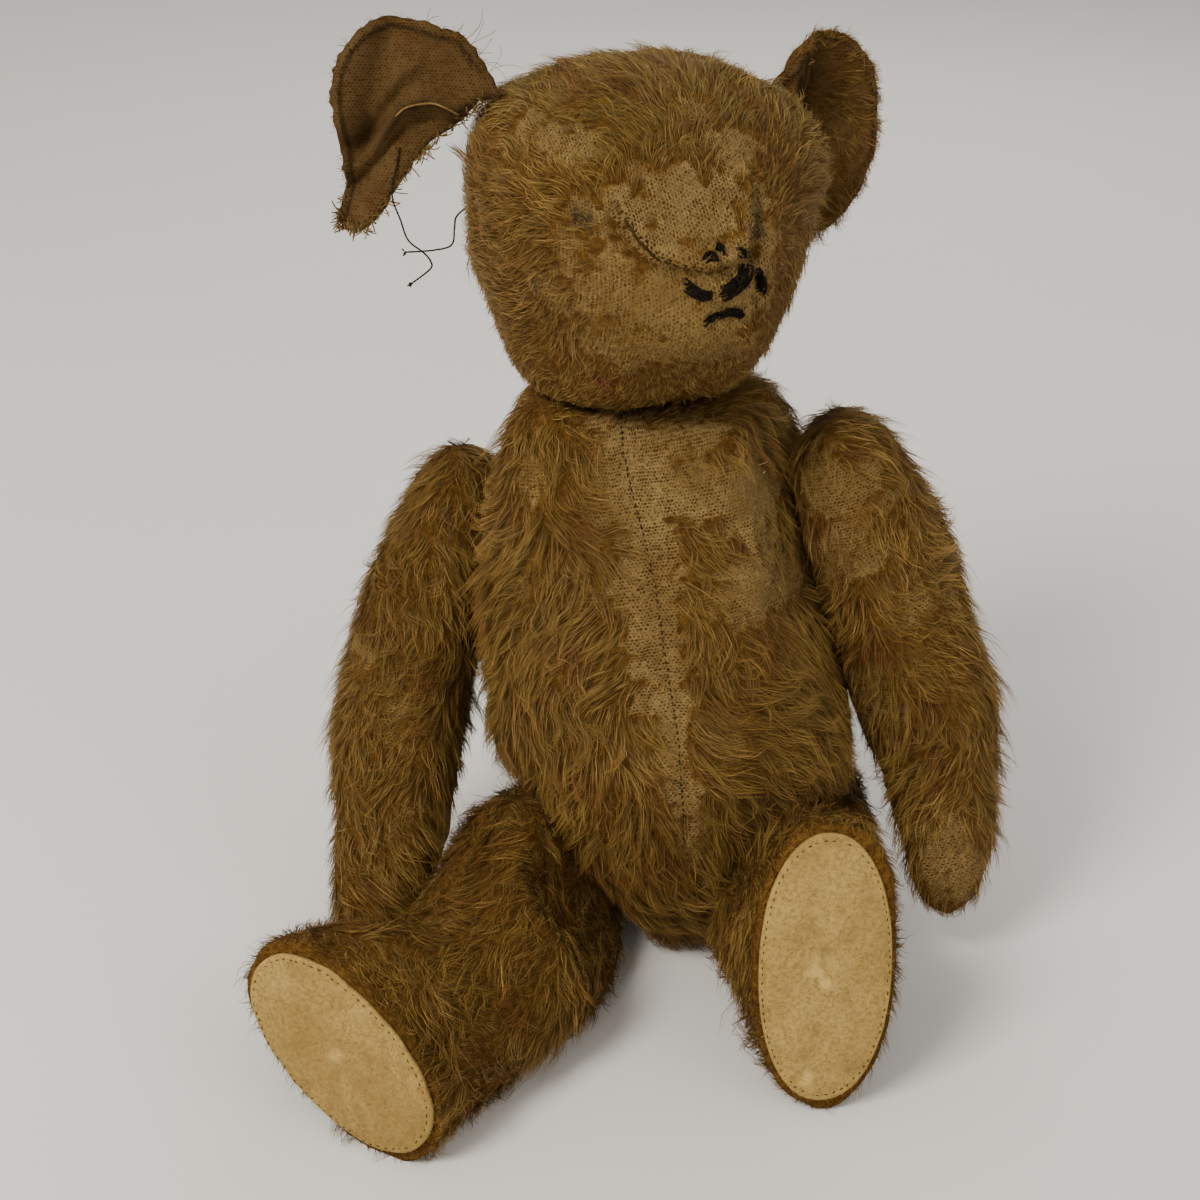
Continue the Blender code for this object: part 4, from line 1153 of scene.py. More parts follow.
def grow_fuzz(key, surface, count, material, seed):
    """Short broken hairs standing on worn cloth."""
    draw = np.random.default_rng(seed)
    axes = AXES[key]
    roots, normals = surface.sample(count * 7, draw)
    local = axes.inward(roots)
    bare = bareness(key, local)
    skip = limb_style(key)["skip"] if key.startswith(("arm", "leg")) else nowhere
    keep = draw.random(len(roots)) < ease(0.25, 0.85, bare)
    keep &= skip(local, normals @ axes.turn) < 0.5
    if key == "head":
        keep &= off_line(local[:, 0], local[:, 2], FACE_SEAM[:7])[0] > 1.8
    roots, normals = roots[keep][:count], normals[keep][:count]
    count = len(roots)
    run = unit(draw.normal(0, 1, (count, 3)) + normals * 0.35 + axes.aim((0, 0, -0.4)))
    run = unit(tangent(run, normals) + normals * draw.uniform(0.15, 0.9, (count, 1)))
    short_hairs(f"{key}_fuzz", key, roots, normals, run, draw, CLOTH_HAIRS, material)


def short_hairs(name, key, roots, normals, run, draw, look, material):
    """Straight single hairs, each one tapered ribbon."""
    sunk, length, colour, tones, fade, widths, slot = look
    count = len(roots)
    lines = np.stack((roots - normals * sunk * MM, roots + run * draw.uniform(*length, (count, 1)) * MM), 1)
    lines[:, 1, 2] = np.maximum(lines[:, 1, 2], 0.15 * MM)
    sides = np.repeat(unit(np.cross(run, draw.normal(0, 1, (count, 3))))[:, None], 2, 1)
    tone = draw.uniform(*tones, (count, 1)) * np.array(colour)
    tints = np.stack((tone * fade[0], tone * fade[1]), 1)
    belong(ribbons(name, lines, sides, draw.uniform(*widths, count) * MM, tints, material), key, slot)


def strand_colours(local, lock, locks, draw, style, bare, bends):
    """Each strand's colours from root to tip: two, or three if it has a bend."""
    count = len(local)
    tone = 0.35 * draw.normal(0, 1, locks)[lock] + 0.75 * draw.normal(0, 1, count) + 0.4 * PATCHY(local + 31)
    light = ease(-0.2, 2.4, tone + 0.3 * ease(0.2, 0.8, bare))[:, None]
    redness = SWIRL_FINE(local + 57) + 0.4 * draw.normal(0, 1, count) + style["red"](local)
    red = ease(0.1, 2.0, redness)[:, None]
    olive = np.clip(style["olive"](local) + 0.12 * draw.normal(0, 1, count), 0, 1)[:, None]
    base = PILE_MID * (1 - olive) + PILE_OLIVE * olive
    base = base * (1 - red) + PILE_RED * red
    base = base * (1 - light) + PILE_LIGHT * light
    base = base * (1 + 0.10 * draw.normal(0, 1, (count, 1)))
    fade = np.array((0.45, 1.1) if bends == 0 else (0.45, 0.92, 1.2))
    return np.clip(base[:, None] * fade[None, :, None], 0.002, 0.8)


# A ribbon with no bend and with one: its faces' corners one after another, where each face starts among
# them, and each corner's place across and up the ribbon's cell in the bake map.
RIBBONS = {
    0: ((0, 1, 2), (0,), (0.2, 0.8, 0.5), (0.1, 0.1, 0.92)),
    1: ((0, 1, 3, 2, 2, 3, 4), (0, 4), (0.2, 0.8, 0.25, 0.75, 0.5), (0.1, 0.1, 0.5, 0.5, 0.92)),
}


def ribbons(name, lines, sides, width, tints, material):
    """One mesh of tapered ribbons, with a bake map that gives each ribbon its own cell."""
    count, bends = len(lines), lines.shape[1] - 2
    pattern, firsts, across, up = (np.array(row) for row in RIBBONS[bends])
    corners = 2 * bends + 3
    points = np.empty((count, corners, 3), np.float32)
    tint = np.ones((count, corners, 4), np.float32)
    for k in range(bends + 1):
        half = sides[:, k] * (width * (1.0, 0.8)[k] / 2)[:, None]
        points[:, 2 * k], points[:, 2 * k + 1] = lines[:, k] - half, lines[:, k] + half
        tint[:, 2 * k, :3] = tint[:, 2 * k + 1, :3] = tints[:, k]
    points[:, -1] = lines[:, -1]
    tint[:, -1, :3] = tints[:, -1]
    loops = (np.arange(count)[:, None] * corners + pattern).ravel()
    mesh = bpy.data.meshes.new(name)
    mesh.vertices.add(count * corners)
    mesh.vertices.foreach_set("co", points.ravel())
    mesh.loops.add(len(loops))
    mesh.loops.foreach_set("vertex_index", loops.astype(np.int32))
    mesh.polygons.add(count * len(firsts))
    starts = (np.arange(count)[:, None] * len(pattern) + firsts).ravel()
    mesh.polygons.foreach_set("loop_start", starts.astype(np.int32))
    mesh.update(calc_edges=True)
    write(mesh.color_attributes.new("tint", "FLOAT_COLOR", "POINT"), "color", tint)
    cells = math.ceil(math.sqrt(count))
    corner = np.stack((np.arange(count) % cells, np.arange(count) // cells), 1)
    flat = (corner[:, None] + np.stack((across, up), 1)[pattern]) / cells
    write(mesh.uv_layers.new(name="OFBake"), "uv", flat)
    return add_object(name, mesh, material)


# Which way the pile lies, how long it is and where there is none, in each body's own axes.
def torso_flow(local):
    x = local[:, 0]
    return np.stack((0.30 + 0.012 * x, 0 * x, -1.0 - 0 * x), 1)


def head_flow(local):
    flow = unit(local - np.array((-2.0, -62.0, 46.0)))
    flow[:, 2] -= 0.6 * ease(76, 44, local[:, 2])
    return flow


def limb_flow(local):
    return np.tile((0.12, -1.0, 0.0), (len(local), 1))


def ear_flow(local):
    flow = local - np.array((0.0, 0.0, 4.0))
    flow[:, 1] = 0
    return flow + np.array((0, 0, -8.0))


def nowhere(local, *_):
    return np.zeros(len(local))


def head_trim(local):
    face = 0.45 + 0.55 * ease(16, 40, np.linalg.norm(local - (-2, -58, 44), axis=1))
    return face * (0.5 + 0.5 * ease(8, 46, local[:, 2]))


def plain_style(**changes):
    """How pile grows and looks, with changes to a plain coat's. Lengths and widths are in millimetres."""
    plain = {
        "shade": 1.0, "length": 9.0, "locks": 2000, "wild": 0.25, "width": 0.183,
        "lift": (0.2, 0.65), "gather": (0.05, 0.6),
        "flow": limb_flow, "trim": lambda local: 1.0, "skip": nowhere,
        "red": nowhere, "olive": lambda local: 0.35,
    }
    return {**plain, **changes}


def coats(under, top):
    """Two coats, each with its name, strands, share of its lock's length, shade and bends."""
    return (("undercoat", under, 0.55, 0.80, 0), ("topcoat", top, 1.0, 1.0, 1))


def limb_style(body):
    """An arm's or a leg's pile, which leaves its felt pad bare."""
    front = front_sign(body)
    if body.startswith("arm"):
        def skip(local, _):
            x, y, z = local.T
            return (y < -WRIST_AT) & (z < ARM_CENTRE + 1) & (x * front < PAW_FRONT + 1)
        return plain_style(coats=coats(16000, 13500), locks=3000, length=9.0, skip=skip)

    def skip(local, _):
        return in_sole(body, local)[1] > -3.0

    def trim(local):
        return np.clip(-(in_sole(body, local)[1] + 1.5) / 9, 0.25, 1)

    return plain_style(coats=coats(21000, 17000), locks=3600, length=9.5, skip=skip, trim=trim,
                       red=lambda local: 0.5)


STYLES = {
    "torso": plain_style(coats=coats(62000, 47000), locks=6500, length=10.5, flow=torso_flow,
                         skip=lambda local, _: local[:, 2] < 3.5,
                         red=lambda local: 0.9 * ease(90, 40, local[:, 2])),
    "head": plain_style(coats=coats(38000, 30500), locks=5000, length=7.0, flow=head_flow, trim=head_trim,
                        lift=(0.15, 0.5), shade=0.9,
                        olive=lambda local: 0.2 + 0.75 * ease(60, 85, local[:, 2])),
    "ear_right": plain_style(coats=(("pile", 3000, 1.0, 0.8, 1),), locks=500, length=5.0, flow=ear_flow,
                             skip=lambda _, normals: normals[:, 1] < -0.2),
    "ear_left": plain_style(coats=(("pile", 5200, 1.0, 0.85, 1),), locks=700, length=4.5, flow=ear_flow),
}


# ---------------------------------------------------------------- felt pads

def polar_patch(name, rows, inner_rows, material):
    """A closed patch from rings of points, outermost first, and the rings underneath them."""
    points = []
    for layer in (rows, inner_rows):
        for row in layer:
            points.extend(row)
        points.append(np.mean(layer[-1], axis=0))
    return closed_sheet(name, points, len(rows[0]), len(rows), material)


def finish_pad(made, body, node, skin, marks, across, along, area):
    """Marks a felt pad, rides it on its body and hides its CAD node. Its cut size, given in millimetres, is
    only turned into metres.
    """
    set_stain(made.data, AXES[body].inward(coordinates(made.data)), marks)
    belong(made, body, "felt", node)
    flat, area = (across * MM, along * MM), area * MM * MM


NAP_HAIRS = 4200  # loose fibres on each sole
PAD_RINGS = np.array((1.0, 0.985, 0.955, 0.92, 0.87, 0.8, 0.72, 0.63, 0.53, 0.42, 0.31, 0.2, 0.1))


def build_sole(body, skin, material, marks):
    """A foot's felt sole, set just inside the rim of cloth round it."""
    origin, across, up, facing = sole_axes(body)
    middle, outline = sole_outline(body)
    angles = np.linspace(0, 2 * math.pi, 96, endpoint=False)
    edge = middle + np.stack((np.cos(angles), np.sin(angles)), 1) * outline(angles)[:, None]
    rows, under = [], []
    for share in PAD_RINGS:
        ring = middle + (edge - middle) * share
        place = np.stack((ring[:, 0], ring[:, 1], 0 * ring[:, 0]), 1)
        height = 1.0 - 1.5 * share**10 - 0.5 * bell(share - 0.92, 0.04)
        height = height + 0.16 * RAGGED(place) + 0.35 * LUMPS_FINE(place) * (1 - share**4)
        local = origin + np.outer(ring[:, 0], across) + np.outer(ring[:, 1], up) + np.outer(height, facing)
        rows.append(AXES[body].outward(local))
        under.append(AXES[body].outward(local - facing * 1.2))
    side = body.split("_")[1]
    made = polar_patch(f"foot_felt_{side}", rows, under, material)
    span = edge.max(0) - edge.min(0)
    finish_pad(made, body, f"foot_pad_{side}", skin, marks, *span, area_inside(edge))
    return made, [origin + across * a + up * b for a, b in middle + (edge - middle) * 0.955]


def felt_nap(name, body, surface, material, seed):
    """Short loose fibres of wool standing on a felt sole."""
    draw = np.random.default_rng(seed)
    roots, normals = surface.sample(NAP_HAIRS * 2, draw)
    facing = sole_axes(body)[3]
    keep = normals @ AXES[body].aim(facing) > 0.3
    roots, normals = roots[keep][:NAP_HAIRS], normals[keep][:NAP_HAIRS]
    count = len(roots)
    along = tangent(draw.normal(0, 1, (count, 3)), normals)
    run = unit(along + normals * draw.uniform(0.05, 0.5, (count, 1)))
    short_hairs(name, body, roots, normals, run, draw, FELT_HAIRS, material)


def build_paw(body, skin, surface, material):
    """A paw's felt pad, laid on the inner side of the arm below the wrist."""
    front = front_sign(body)
    axes = AXES[body]
    corners = (
        (PAW_FRONT * front, -98), (PAW_FRONT * front * 0.8, -WRIST_AT - 1), (0, -WRIST_AT + 2),
        (-10 * front, -WRIST_AT), (-13 * front, -98), (-12 * front, -110), (-4 * front, -117),
        (6 * front, -113),
    )
    edge = rounded(corners, 72)
    middle = edge.mean(0)
    rows, under = [], []
    toward = Vector(axes.aim((0, 0, 1)))
    for share in PAD_RINGS:
        row, low = [], []
        for x, y in middle + (edge - middle) * share:
            start = Vector(axes.outward((x, y, -40)))
            hit, normal, _, _ = surface.tree.ray_cast(start, toward)
            if hit is None:
                hit, normal, _, _ = surface.tree.find_nearest(axes.outward((x, y, ARM_CENTRE)))
            height = (0.75 - 0.55 * share**10) * MM
            row.append(np.array(hit + normal * height))
            low.append(np.array(hit - normal * 0.3 * MM))
        rows.append(row)
        under.append(low)
    side = body.split("_")[1]
    made = polar_patch(f"paw_felt_{side}", rows, under, material)
    span = axes.inward(np.array(rows[0]))
    width = span[:, 0].max() - span[:, 0].min()
    length = span[:, 1].max() - span[:, 1].min()
    area = sum(p.area for p in made.data.polygons) / 2 / MM / MM
    scale = max(1.0, area / (0.95 * width * length))
    finish_pad(made, body, f"paw_pad_{side}", skin, (), width * scale, length, area)
    return made, [axes.inward(p) for p in rows[2]]


# ---------------------------------------------------------------- sewing

def tubes(name, paths, radii, material, sides):
    """Round-ended strands along paths, as one mesh."""
    points, faces = [], []
    for path, radius in zip(paths, radii):
        path = [Vector(p) for p in path]
        start = len(points)
        side = None
        for k, here in enumerate(path):
            run = (path[min(k + 1, len(path) - 1)] - path[max(k - 1, 0)]).normalized()
            side = run.orthogonal() if side is None else side
            side = (side - run * side.dot(run)).normalized()
            other = run.cross(side)
            thick = radius * (0.55 if k in (0, len(path) - 1) else 1.0)
            for n in range(sides):
                turn = 2 * math.pi * n / sides
                points.append(here + (side * math.cos(turn) + other * math.sin(turn)) * thick)
        for k in range(len(path) - 1):
            for n in range(sides):
                m, low, high = (n + 1) % sides, start + k * sides, start + (k + 1) * sides
                faces.append((low + n, low + m, high + m, high + n))
        faces.append(tuple(range(start + sides - 1, start - 1, -1)))
        faces.append(tuple(range(len(points) - sides, len(points))))
    return mesh_object(name, points, faces, material)


def spaced(points, step):
    """Points at even steps along a line through points."""
    points = np.array(points, float)
    runs = np.linalg.norm(np.diff(points, axis=0), axis=1)
    at = np.concatenate(((0,), np.cumsum(runs)))
    count = max(2, int(at[-1] / step) + 1)
    return np.stack([np.interp(np.linspace(0, at[-1], count), at, points[:, k]) for k in range(3)], 1)


def laid(surface, points, toward):
    """Points moved along toward, or to the nearest place without it, onto a surface, with its normals."""
    if toward is None:
        return surface.settle(points)
    found = [surface.tree.ray_cast(p, Vector(toward))[:2] for p in points]
    found = [hit for hit in found if hit[0] is not None]
    return np.array([f[0] for f in found]), np.array([f[1] for f in found])


def sew(name, key, surface, line, material, pitch, share, radius, seed, sink=0.0, toward=None):
    """Running stitches along a line of local points laid onto a skin: share of each pitch shows."""
    draw = np.random.default_rng(seed)
    axes = AXES[key]
    fine = 0.25  # millimetres between the points that a stitch is picked from
    aim = None if toward is None else axes.aim(toward)
    flat, normals = laid(surface, spaced(axes.outward(line), fine * MM), aim)
    flat, normals = laid(surface, spaced(flat, fine * MM), None)
    per = pitch / fine
    paths, radii = [], []
    for k in range(int(len(flat) / per)):
        first = int(k * per + draw.uniform(0, 0.8))
        last = min(first + int(per * share * draw.uniform(0.8, 1.2)), len(flat) - 1)
        if last - first < 3:
            continue
        picks = np.linspace(first, last, 5).astype(int)
        rise = (np.array((-1.2, 0.5, 0.9, 0.5, -1.2)) * radius - sink) * MM
        paths.append(flat[picks] + normals[picks] * rise[:, None] + draw.normal(0, 0.09 * MM, 3))
        radii.append(radius * MM)
    belong(tubes(name, paths, radii, material, 6), key, "yarn")


# Embroidery left on the nose and mouth: points across and up the face, then half the width of the worn
# bundle of strands that follows them.
NOSE = {
    "nose_yarn_bridge": (
        ((-7.0, 52.0), (-5.0, 53.0), (-3.0, 52.9)), 0.7, ((-2.4, 53.2), (-1.6, 54.6), (-0.6, 55.4)), 0.55,
        ((1.6, 54.2), (3.4, 53.2), (5.0, 51.4)), 0.55),
    "nose_yarn_left": (((-11.2, 46.6), (-9.6, 45.2), (-7.4, 44.2), (-5.2, 43.8)), 1.15),
    "nose_yarn_right": (((-3.8, 43.8), (-1.2, 44.8), (1.8, 46.0), (4.0, 48.0), (5.0, 50.2)), 1.25),
    "nose_yarn_side": (((8.8, 48.2), (9.8, 45.0), (9.4, 41.2)), 1.1),
    "mouth_yarn": (
        ((-7.8, 36.2), (-6.0, 38.0), (-3.8, 38.8)), 0.6,
        ((-4.2, 38.2), (-1.2, 39.2), (2.4, 38.2), (2.8, 36.8)), 0.6),
}


HALF_STRAND = 0.085  # half the space between embroidery strands


def embroider(name, surface, runs, material, seed):
    """Worn satin stitches: close strands side by side, uneven in length and height."""
    draw = np.random.default_rng(seed)
    axes = AXES["head"]
    toward = Vector(axes.aim((0, 1, 0)))
    paths, radii = [], []
    for line, half in zip(runs[::2], runs[1::2]):
        count = max(6, int(half / HALF_STRAND))
        for n in range(count):
            offset = (n / (count - 1) * 2 - 1) * half + draw.normal(0, 0.1)
            line3 = spaced([(x, 0, z) for x, z in line], 0.8)
            start, stop = draw.integers(0, 3, 2)
            line3 = line3[start: len(line3) - stop] if len(line3) > 4 else line3
            run = np.gradient(line3, axis=0)
            across = unit(np.stack((-run[:, 2], 0 * run[:, 0], run[:, 0]), 1))
            path = []
            for k, (x, _, z) in enumerate(line3 + across * (offset + draw.normal(0, 0.22))):
                hit, normal, _, _ = surface.tree.ray_cast(Vector(axes.outward((x, -120, z))), toward)
                end = k in (0, len(line3) - 1)
                crown = math.sqrt(max(0.0, 1 - (offset / (half + 0.2)) ** 2))
                height = -0.5 if end else 0.1 + 0.75 * crown + draw.normal(0, 0.18)
                path.append(np.array(hit) + np.array(normal) * height * MM)
            paths.append(path)
            radii.append(draw.uniform(0.24, 0.36) * MM)
    belong(tubes(name, paths, radii, material, 5), "head", "yarn", name)


def strays(name, body, starts, runs, lengths, radius, material, seed, bend=0.6):
    """Loose fibres from world points, each of its own length: they set off along runs and wander."""
    draw = np.random.default_rng(seed)
    paths, radii = [], []
    for start, run, length in zip(starts, runs, lengths):
        run = unit(np.array(run, float) + draw.normal(0, 0.22, 3))
        drift = draw.normal(0, bend, 3)
        here = np.array(start, float)
        path = [here]
        for _ in range(7):
            run = unit(run + drift / 7 + draw.normal(0, 0.08, 3))
            here = here + run * length * MM / 7
            path.append(here)
        paths.append(path)
        radii.append(radius * draw.uniform(0.7, 1.2) * MM)
    belong(tubes(name, paths, radii, material, 3), body, "mohair")


# The two hanging threads' routes in the head's own axes, with their lengths, all in millimetres.
THREADS = {
    "thread_from_ear": (42.1, (
        (-61.6, 14.2, 70.2), (-62.7, 13.3, 66.4), (-65.1, 11.8, 58.8), (-63.7, 9.9, 52.1), (-62.3, 8.3, 46.9),
        (-58.9, 6.1, 43.7), (-57.4, 5.0, 41.4), (-57.8, 4.8, 39.4), (-63.0, 6.3, 35.4))),
    "thread_from_head": (45.7, (
        (-31.5, 34.6, 49.0), (-38.5, 27.5, 48.5), (-44.3, 20.5, 48.0), (-47.5, 13.3, 47.0),
        (-50.0, 9.0, 44.0), (-55.0, 9.5, 43.0), (-62.0, 12.0, 42.6))),
}


def build_thread(name, length, route, material):
    """A two-ply sewing thread that hangs free and ends in a small knot."""
    path = AXES["head"].outward(through(route, 150))
    runs = unit(np.gradient(path, axis=0))
    side = unit(np.cross(runs, (0.3, 0.9, 0.2)))
    other = np.cross(runs, side)
    turns = np.linspace(0, length / 1.3 * 2 * math.pi, len(path))[:, None]
    plies = [path + (side * np.cos(turns + s) + other * np.sin(turns + s)) * 0.13 * MM for s in (0, math.pi)]
    made = tubes(f"{name}_plies", plies, [0.17 * MM] * 2, material, 5)
    draw = np.random.default_rng(len(route))
    end = path[-1]
    loops = [end + np.cumsum(draw.normal(0, 0.22 * MM, (7, 3)), 0) for _ in range(5)]
    knot = tubes(f"{name}_knot", loops, [0.2 * MM] * 5, material, 5)
    belong(made, "head", "yarn", name)
    belong(knot, "head", "yarn")


# ---------------------------------------------------------------- camera and light

def build_stage():
    """A pale floor and soft studio light."""
    floor_material = plain_material("pale_floor", (0.82, 0.80, 0.76), (0.80, 0.78, 0.74), 3.0, 0.9)
    half = 4.0
    floor = mesh_object("floor", [(-half, -half, 0), (half, -half, 0), (half, half, 0), (-half, half, 0)],
                        [(0, 1, 2, 3)], floor_material)
    world = bpy.data.worlds.new("studio")
    world.use_nodes = True
    world.node_tree.nodes["Background"].inputs["Color"].default_value = (1.0, 0.97, 0.92, 1)
    world.node_tree.nodes["Background"].inputs["Strength"].default_value = 0.62
    bpy.context.scene.world = world
    # Name, place, size in metres, power in watts and colour.
    lamps = (
        ("key", (-0.75, -0.75, 1.15), 0.5, 21.0, (1.0, 0.955, 0.88)),
        ("fill", (1.1, -0.9, 0.75), 0.9, 4.5, (1.0, 0.98, 0.95)),
        ("back", (0.3, 1.2, 1.0), 0.8, 5.0, (1.0, 0.98, 0.95)),
    )
    aimed_at = Vector((0, 0, 0.12))
    for name, at, size, power, colour in lamps:
        data = bpy.data.lights.new(name, "AREA")
        data.size = size
        data.energy = power
        data.color = colour
        lamp = bpy.data.objects.new(name, data)
        lamp.location = at
        lamp.rotation_euler = (aimed_at - Vector(at)).to_track_quat("-Z", "Y").to_euler()
        COLLECTION.objects.link(lamp)


def build_camera():
    """The photograph's view."""
    data = bpy.data.cameras.new("camera")
    data.sensor_width = 36
    data.lens = CAMERA_LENS
    camera = bpy.data.objects.new("camera", data)
    down, roll = math.radians(CAMERA_DOWN), math.radians(CAMERA_ROLL)
    ahead = Vector((0, math.cos(down), -math.sin(down)))
    up = Vector((0, math.sin(down), math.cos(down)))
    right = Vector((1, 0, 0))
    across = right * math.cos(roll) + up * math.sin(roll)
    upright = up * math.cos(roll) - right * math.sin(roll)
    turn = Matrix((across, upright, -ahead)).transposed().to_4x4()
    camera.matrix_world = Matrix.Translation(CAMERA_AT) @ turn
    data.clip_start, data.clip_end = 0.01, 20
    COLLECTION.objects.link(camera)
    bpy.context.scene.camera = camera


# ---------------------------------------------------------------- the bear

def finish_hardware():
    """Gives the joint hardware inside the bear its own surfaces."""
    board = plain_material("pressed_board", (0.30, 0.19, 0.10), (0.22, 0.14, 0.07), 240.0, 0.85)
    steel = plain_material("dull_steel", (0.33, 0.31, 0.29), (0.22, 0.13, 0.08), 400.0, 0.5, metallic=0.9)
    for name, node in frame["nodes"].items():
        if name.endswith("_disc"):
            node.data.materials[0] = board
        elif name.endswith(("_washer", "_pin")):
            node.data.materials[0] = steel


def ear_rim(key, inset, share=(0.0, 1.0)):
    """A line inside an ear's outline, over part of the way round it."""
    outline, middle, bend, _ = EARS[key]
    edge = rounded(outline, 240)[int(240 * share[0]): int(240 * share[1])]
    middle = np.array(middle, float)
    edge = edge - unit(edge - middle) * inset
    x, z = edge.T
    return np.stack((x, bend(x, z) - 1.4, z), 1)


RIM_HAIRS = 520  # loose fibres round each ear's edge


def build_ears(shaded_ear_cloth, pile, thread, fibre):
    """Both ears' cloth layers, pile, seams and loose fibres. Gives each front layer's surface."""
    fronts = {}
    for seed, key in enumerate(EARS):
        torn = key == "ear_right"
        layers = {}
        for layer in ("front", "back"):
            made, held, span, area = build_ear(key, layer, shaded_ear_cloth, 40 + seed)
            flat, area = tuple(span * MM * EAR_CURL), area * MM * MM * EAR_SPREAD
            layers[layer] = Surface(made)
        front = fronts[key] = layers["front"]
        grow(key, key, layers["back" if torn else "front"], [], STYLES[key], pile, 60 + seed)
        if not torn:
            grow(f"{key}_back", key, layers["back"], [], STYLES[key], pile, 70)
        seam = ear_rim(key, 1.9, (0.34 if torn else 0.5, 1.0))
        sew(f"{key}_seam", key, front, seam, thread, pitch=1.7, share=0.7, radius=0.13, seed=seed)
        draw = np.random.default_rng(80 + seed)
        rim = AXES[key].outward(ear_rim(key, -0.2))
        middle_x, middle_z = EARS[key][1]
        roots, _ = front.settle(rim[draw.integers(0, len(rim), RIM_HAIRS)])
        away = roots - AXES[key].outward((middle_x, 0, middle_z))
        lengths = draw.uniform(0.8, 2.6, RIM_HAIRS)
        strays(f"{key}_fuzz", "head", roots, away, lengths, 0.065, fibre, seed=5)
    return fronts


# Where stray fibres start: (x, z) on the hanging and the standing ear, and (x, y, z) on the torso and head.
TORN_TOP = ((-12, 14.5), (-10, 13.5), (-8, 12.5), (-6, 10), (-4, 8), (-3, 6), (-20, 17))
TORN_TOP_RUNS = (
    (0.55, 0, 1), (0.7, 0, 0.8), (0.9, 0, 0.7), (1, 0, 0.5), (1, 0.1, 0.1), (0.8, 0, 0.9), (0.5, 0, 1),
)
TORN_TAIL = ((-41, -33), (-40, -34.5), (-38.5, -35), (-41.6, -31))
TORN_YARN = ((-27, -6), (-24, -3.6), (-18, -2.4), (-14, -3.4), (-10.5, -5.2))
TORN_ENDS = ((-18, -7), (-16.5, -9), (-22, -10), (-20, -12))
TORN_END_RUNS = ((0.3, -0.4, -1), (0.6, -0.3, -0.8), (0.8, -0.2, 0.3), (1, -0.3, 0))
SIDE_TUFT = ((32, -2), (32.2, -3), (32, -4), (31.8, -1))
LOW_TUFT = ((14, -29), (12, -29.5), (10, -29), (16, -28))
STRAW_AT = ((39, -22, 147), (41, -21, 144))
RED_WOOL_AT = ((-27, -32, 15), (-26, -33, 15.5), (-25, -33, 15), (-24, -34, 15.5))


def on_torn_ear(places, lift):
    """World points on the hanging ear, lift millimetres behind its bent middle."""
    return [AXES["ear_right"].outward((x, torn_bend(x, z) + lift, z)) for x, z in places]


def build_frays(surfaces, fronts, fibre, straw, red):
    """Long stray hairs, torn edges' loops, straw bits and a scrap of red wool at the neck."""
    torn, standing = AXES["ear_right"], AXES["ear_left"]
    draw = np.random.default_rng(11)
    top = [torn.outward((x, 0.5, z)) for x, z in TORN_TOP]
    runs, lengths = TORN_TOP_RUNS * 2, draw.uniform(4, 11, 14)
    strays("ear_right_stray_hairs", "head", top * 2, runs, lengths, 0.07, fibre, seed=6, bend=0.9)

    edge = rounded(TORN_EAR, 200)[8:110]
    starts = on_torn_ear(edge[draw.integers(0, len(edge), 170)], -0.6)
    down = [torn.aim((0.5, -0.35, -1))] * 170
    lengths = draw.uniform(1.5, 4.6, 170)
    strays("ear_right_torn_edge", "head", starts, down, lengths, 0.19, fibre, seed=7, bend=2.6)
    tail, down = on_torn_ear(TORN_TAIL, -0.5) * 9, [(-0.5, -0.2, -1)] * 36
    lengths = draw.uniform(1.5, 4.5, 36)
    strays("ear_right_tail_loops", "head", tail, down, lengths, 0.22, fibre, seed=8, bend=3.0)
    route = through([(x, torn_bend(x, z) - 1.9, z) for x, z in TORN_YARN], 30)
    yarn = tubes("ear_right_loose_yarn", [torn.outward(route)], [0.28 * MM], fibre, 6)
    belong(yarn, "head", "mohair")
    ends, lengths = on_torn_ear(TORN_ENDS, -1.4), (3.6, 3.0, 3.2, 2.4)
    strays("ear_right_thread_ends", "head", ends, TORN_END_RUNS, lengths, 0.2, fibre, seed=9, bend=0.8)

    # Roots, how far behind the ear's own axes, copies of each, direction, length, seed and wander.
    tufts = (
        ("ear_left_tuft", SIDE_TUFT, 1, 7, (1, 0, 0.55), (6, 10.5), 10, 0.5),
        ("ear_left_low_tuft", LOW_TUFT, 2, 6, (0.3, 0, -1), (4, 7), 12, 0.6),
    )
    for name, places, y, times, run, spread, seed, bend in tufts:
        roots, _ = fronts["ear_left"].settle([standing.outward((x, y, z)) for x, z in places] * times)
        lengths = draw.uniform(*spread, len(roots))
        runs = [standing.aim(run)] * len(roots)
        strays(name, "head", roots, runs, lengths, 0.075, fibre, seed=seed, bend=bend)

    bits, normals = surfaces["torso"].settle([AXES["torso"].outward(p) for p in STRAW_AT])
    runs = normals + np.array((0.4, -0.2, 0.6))
    strays("straw_bits", "torso", bits, runs, (3.4, 1.6), 0.16, straw, seed=13, bend=0.3)
    neck, _ = surfaces["head"].settle([AXES["head"].outward(p) for p in RED_WOOL_AT] * 6)
    lengths = draw.uniform(2, 4, 24)
    runs = [(0.8, -0.6, -0.2)] * 24
    strays("red_wool_scrap", "head", neck, runs, lengths, 0.17, red, seed=14, bend=1.4)


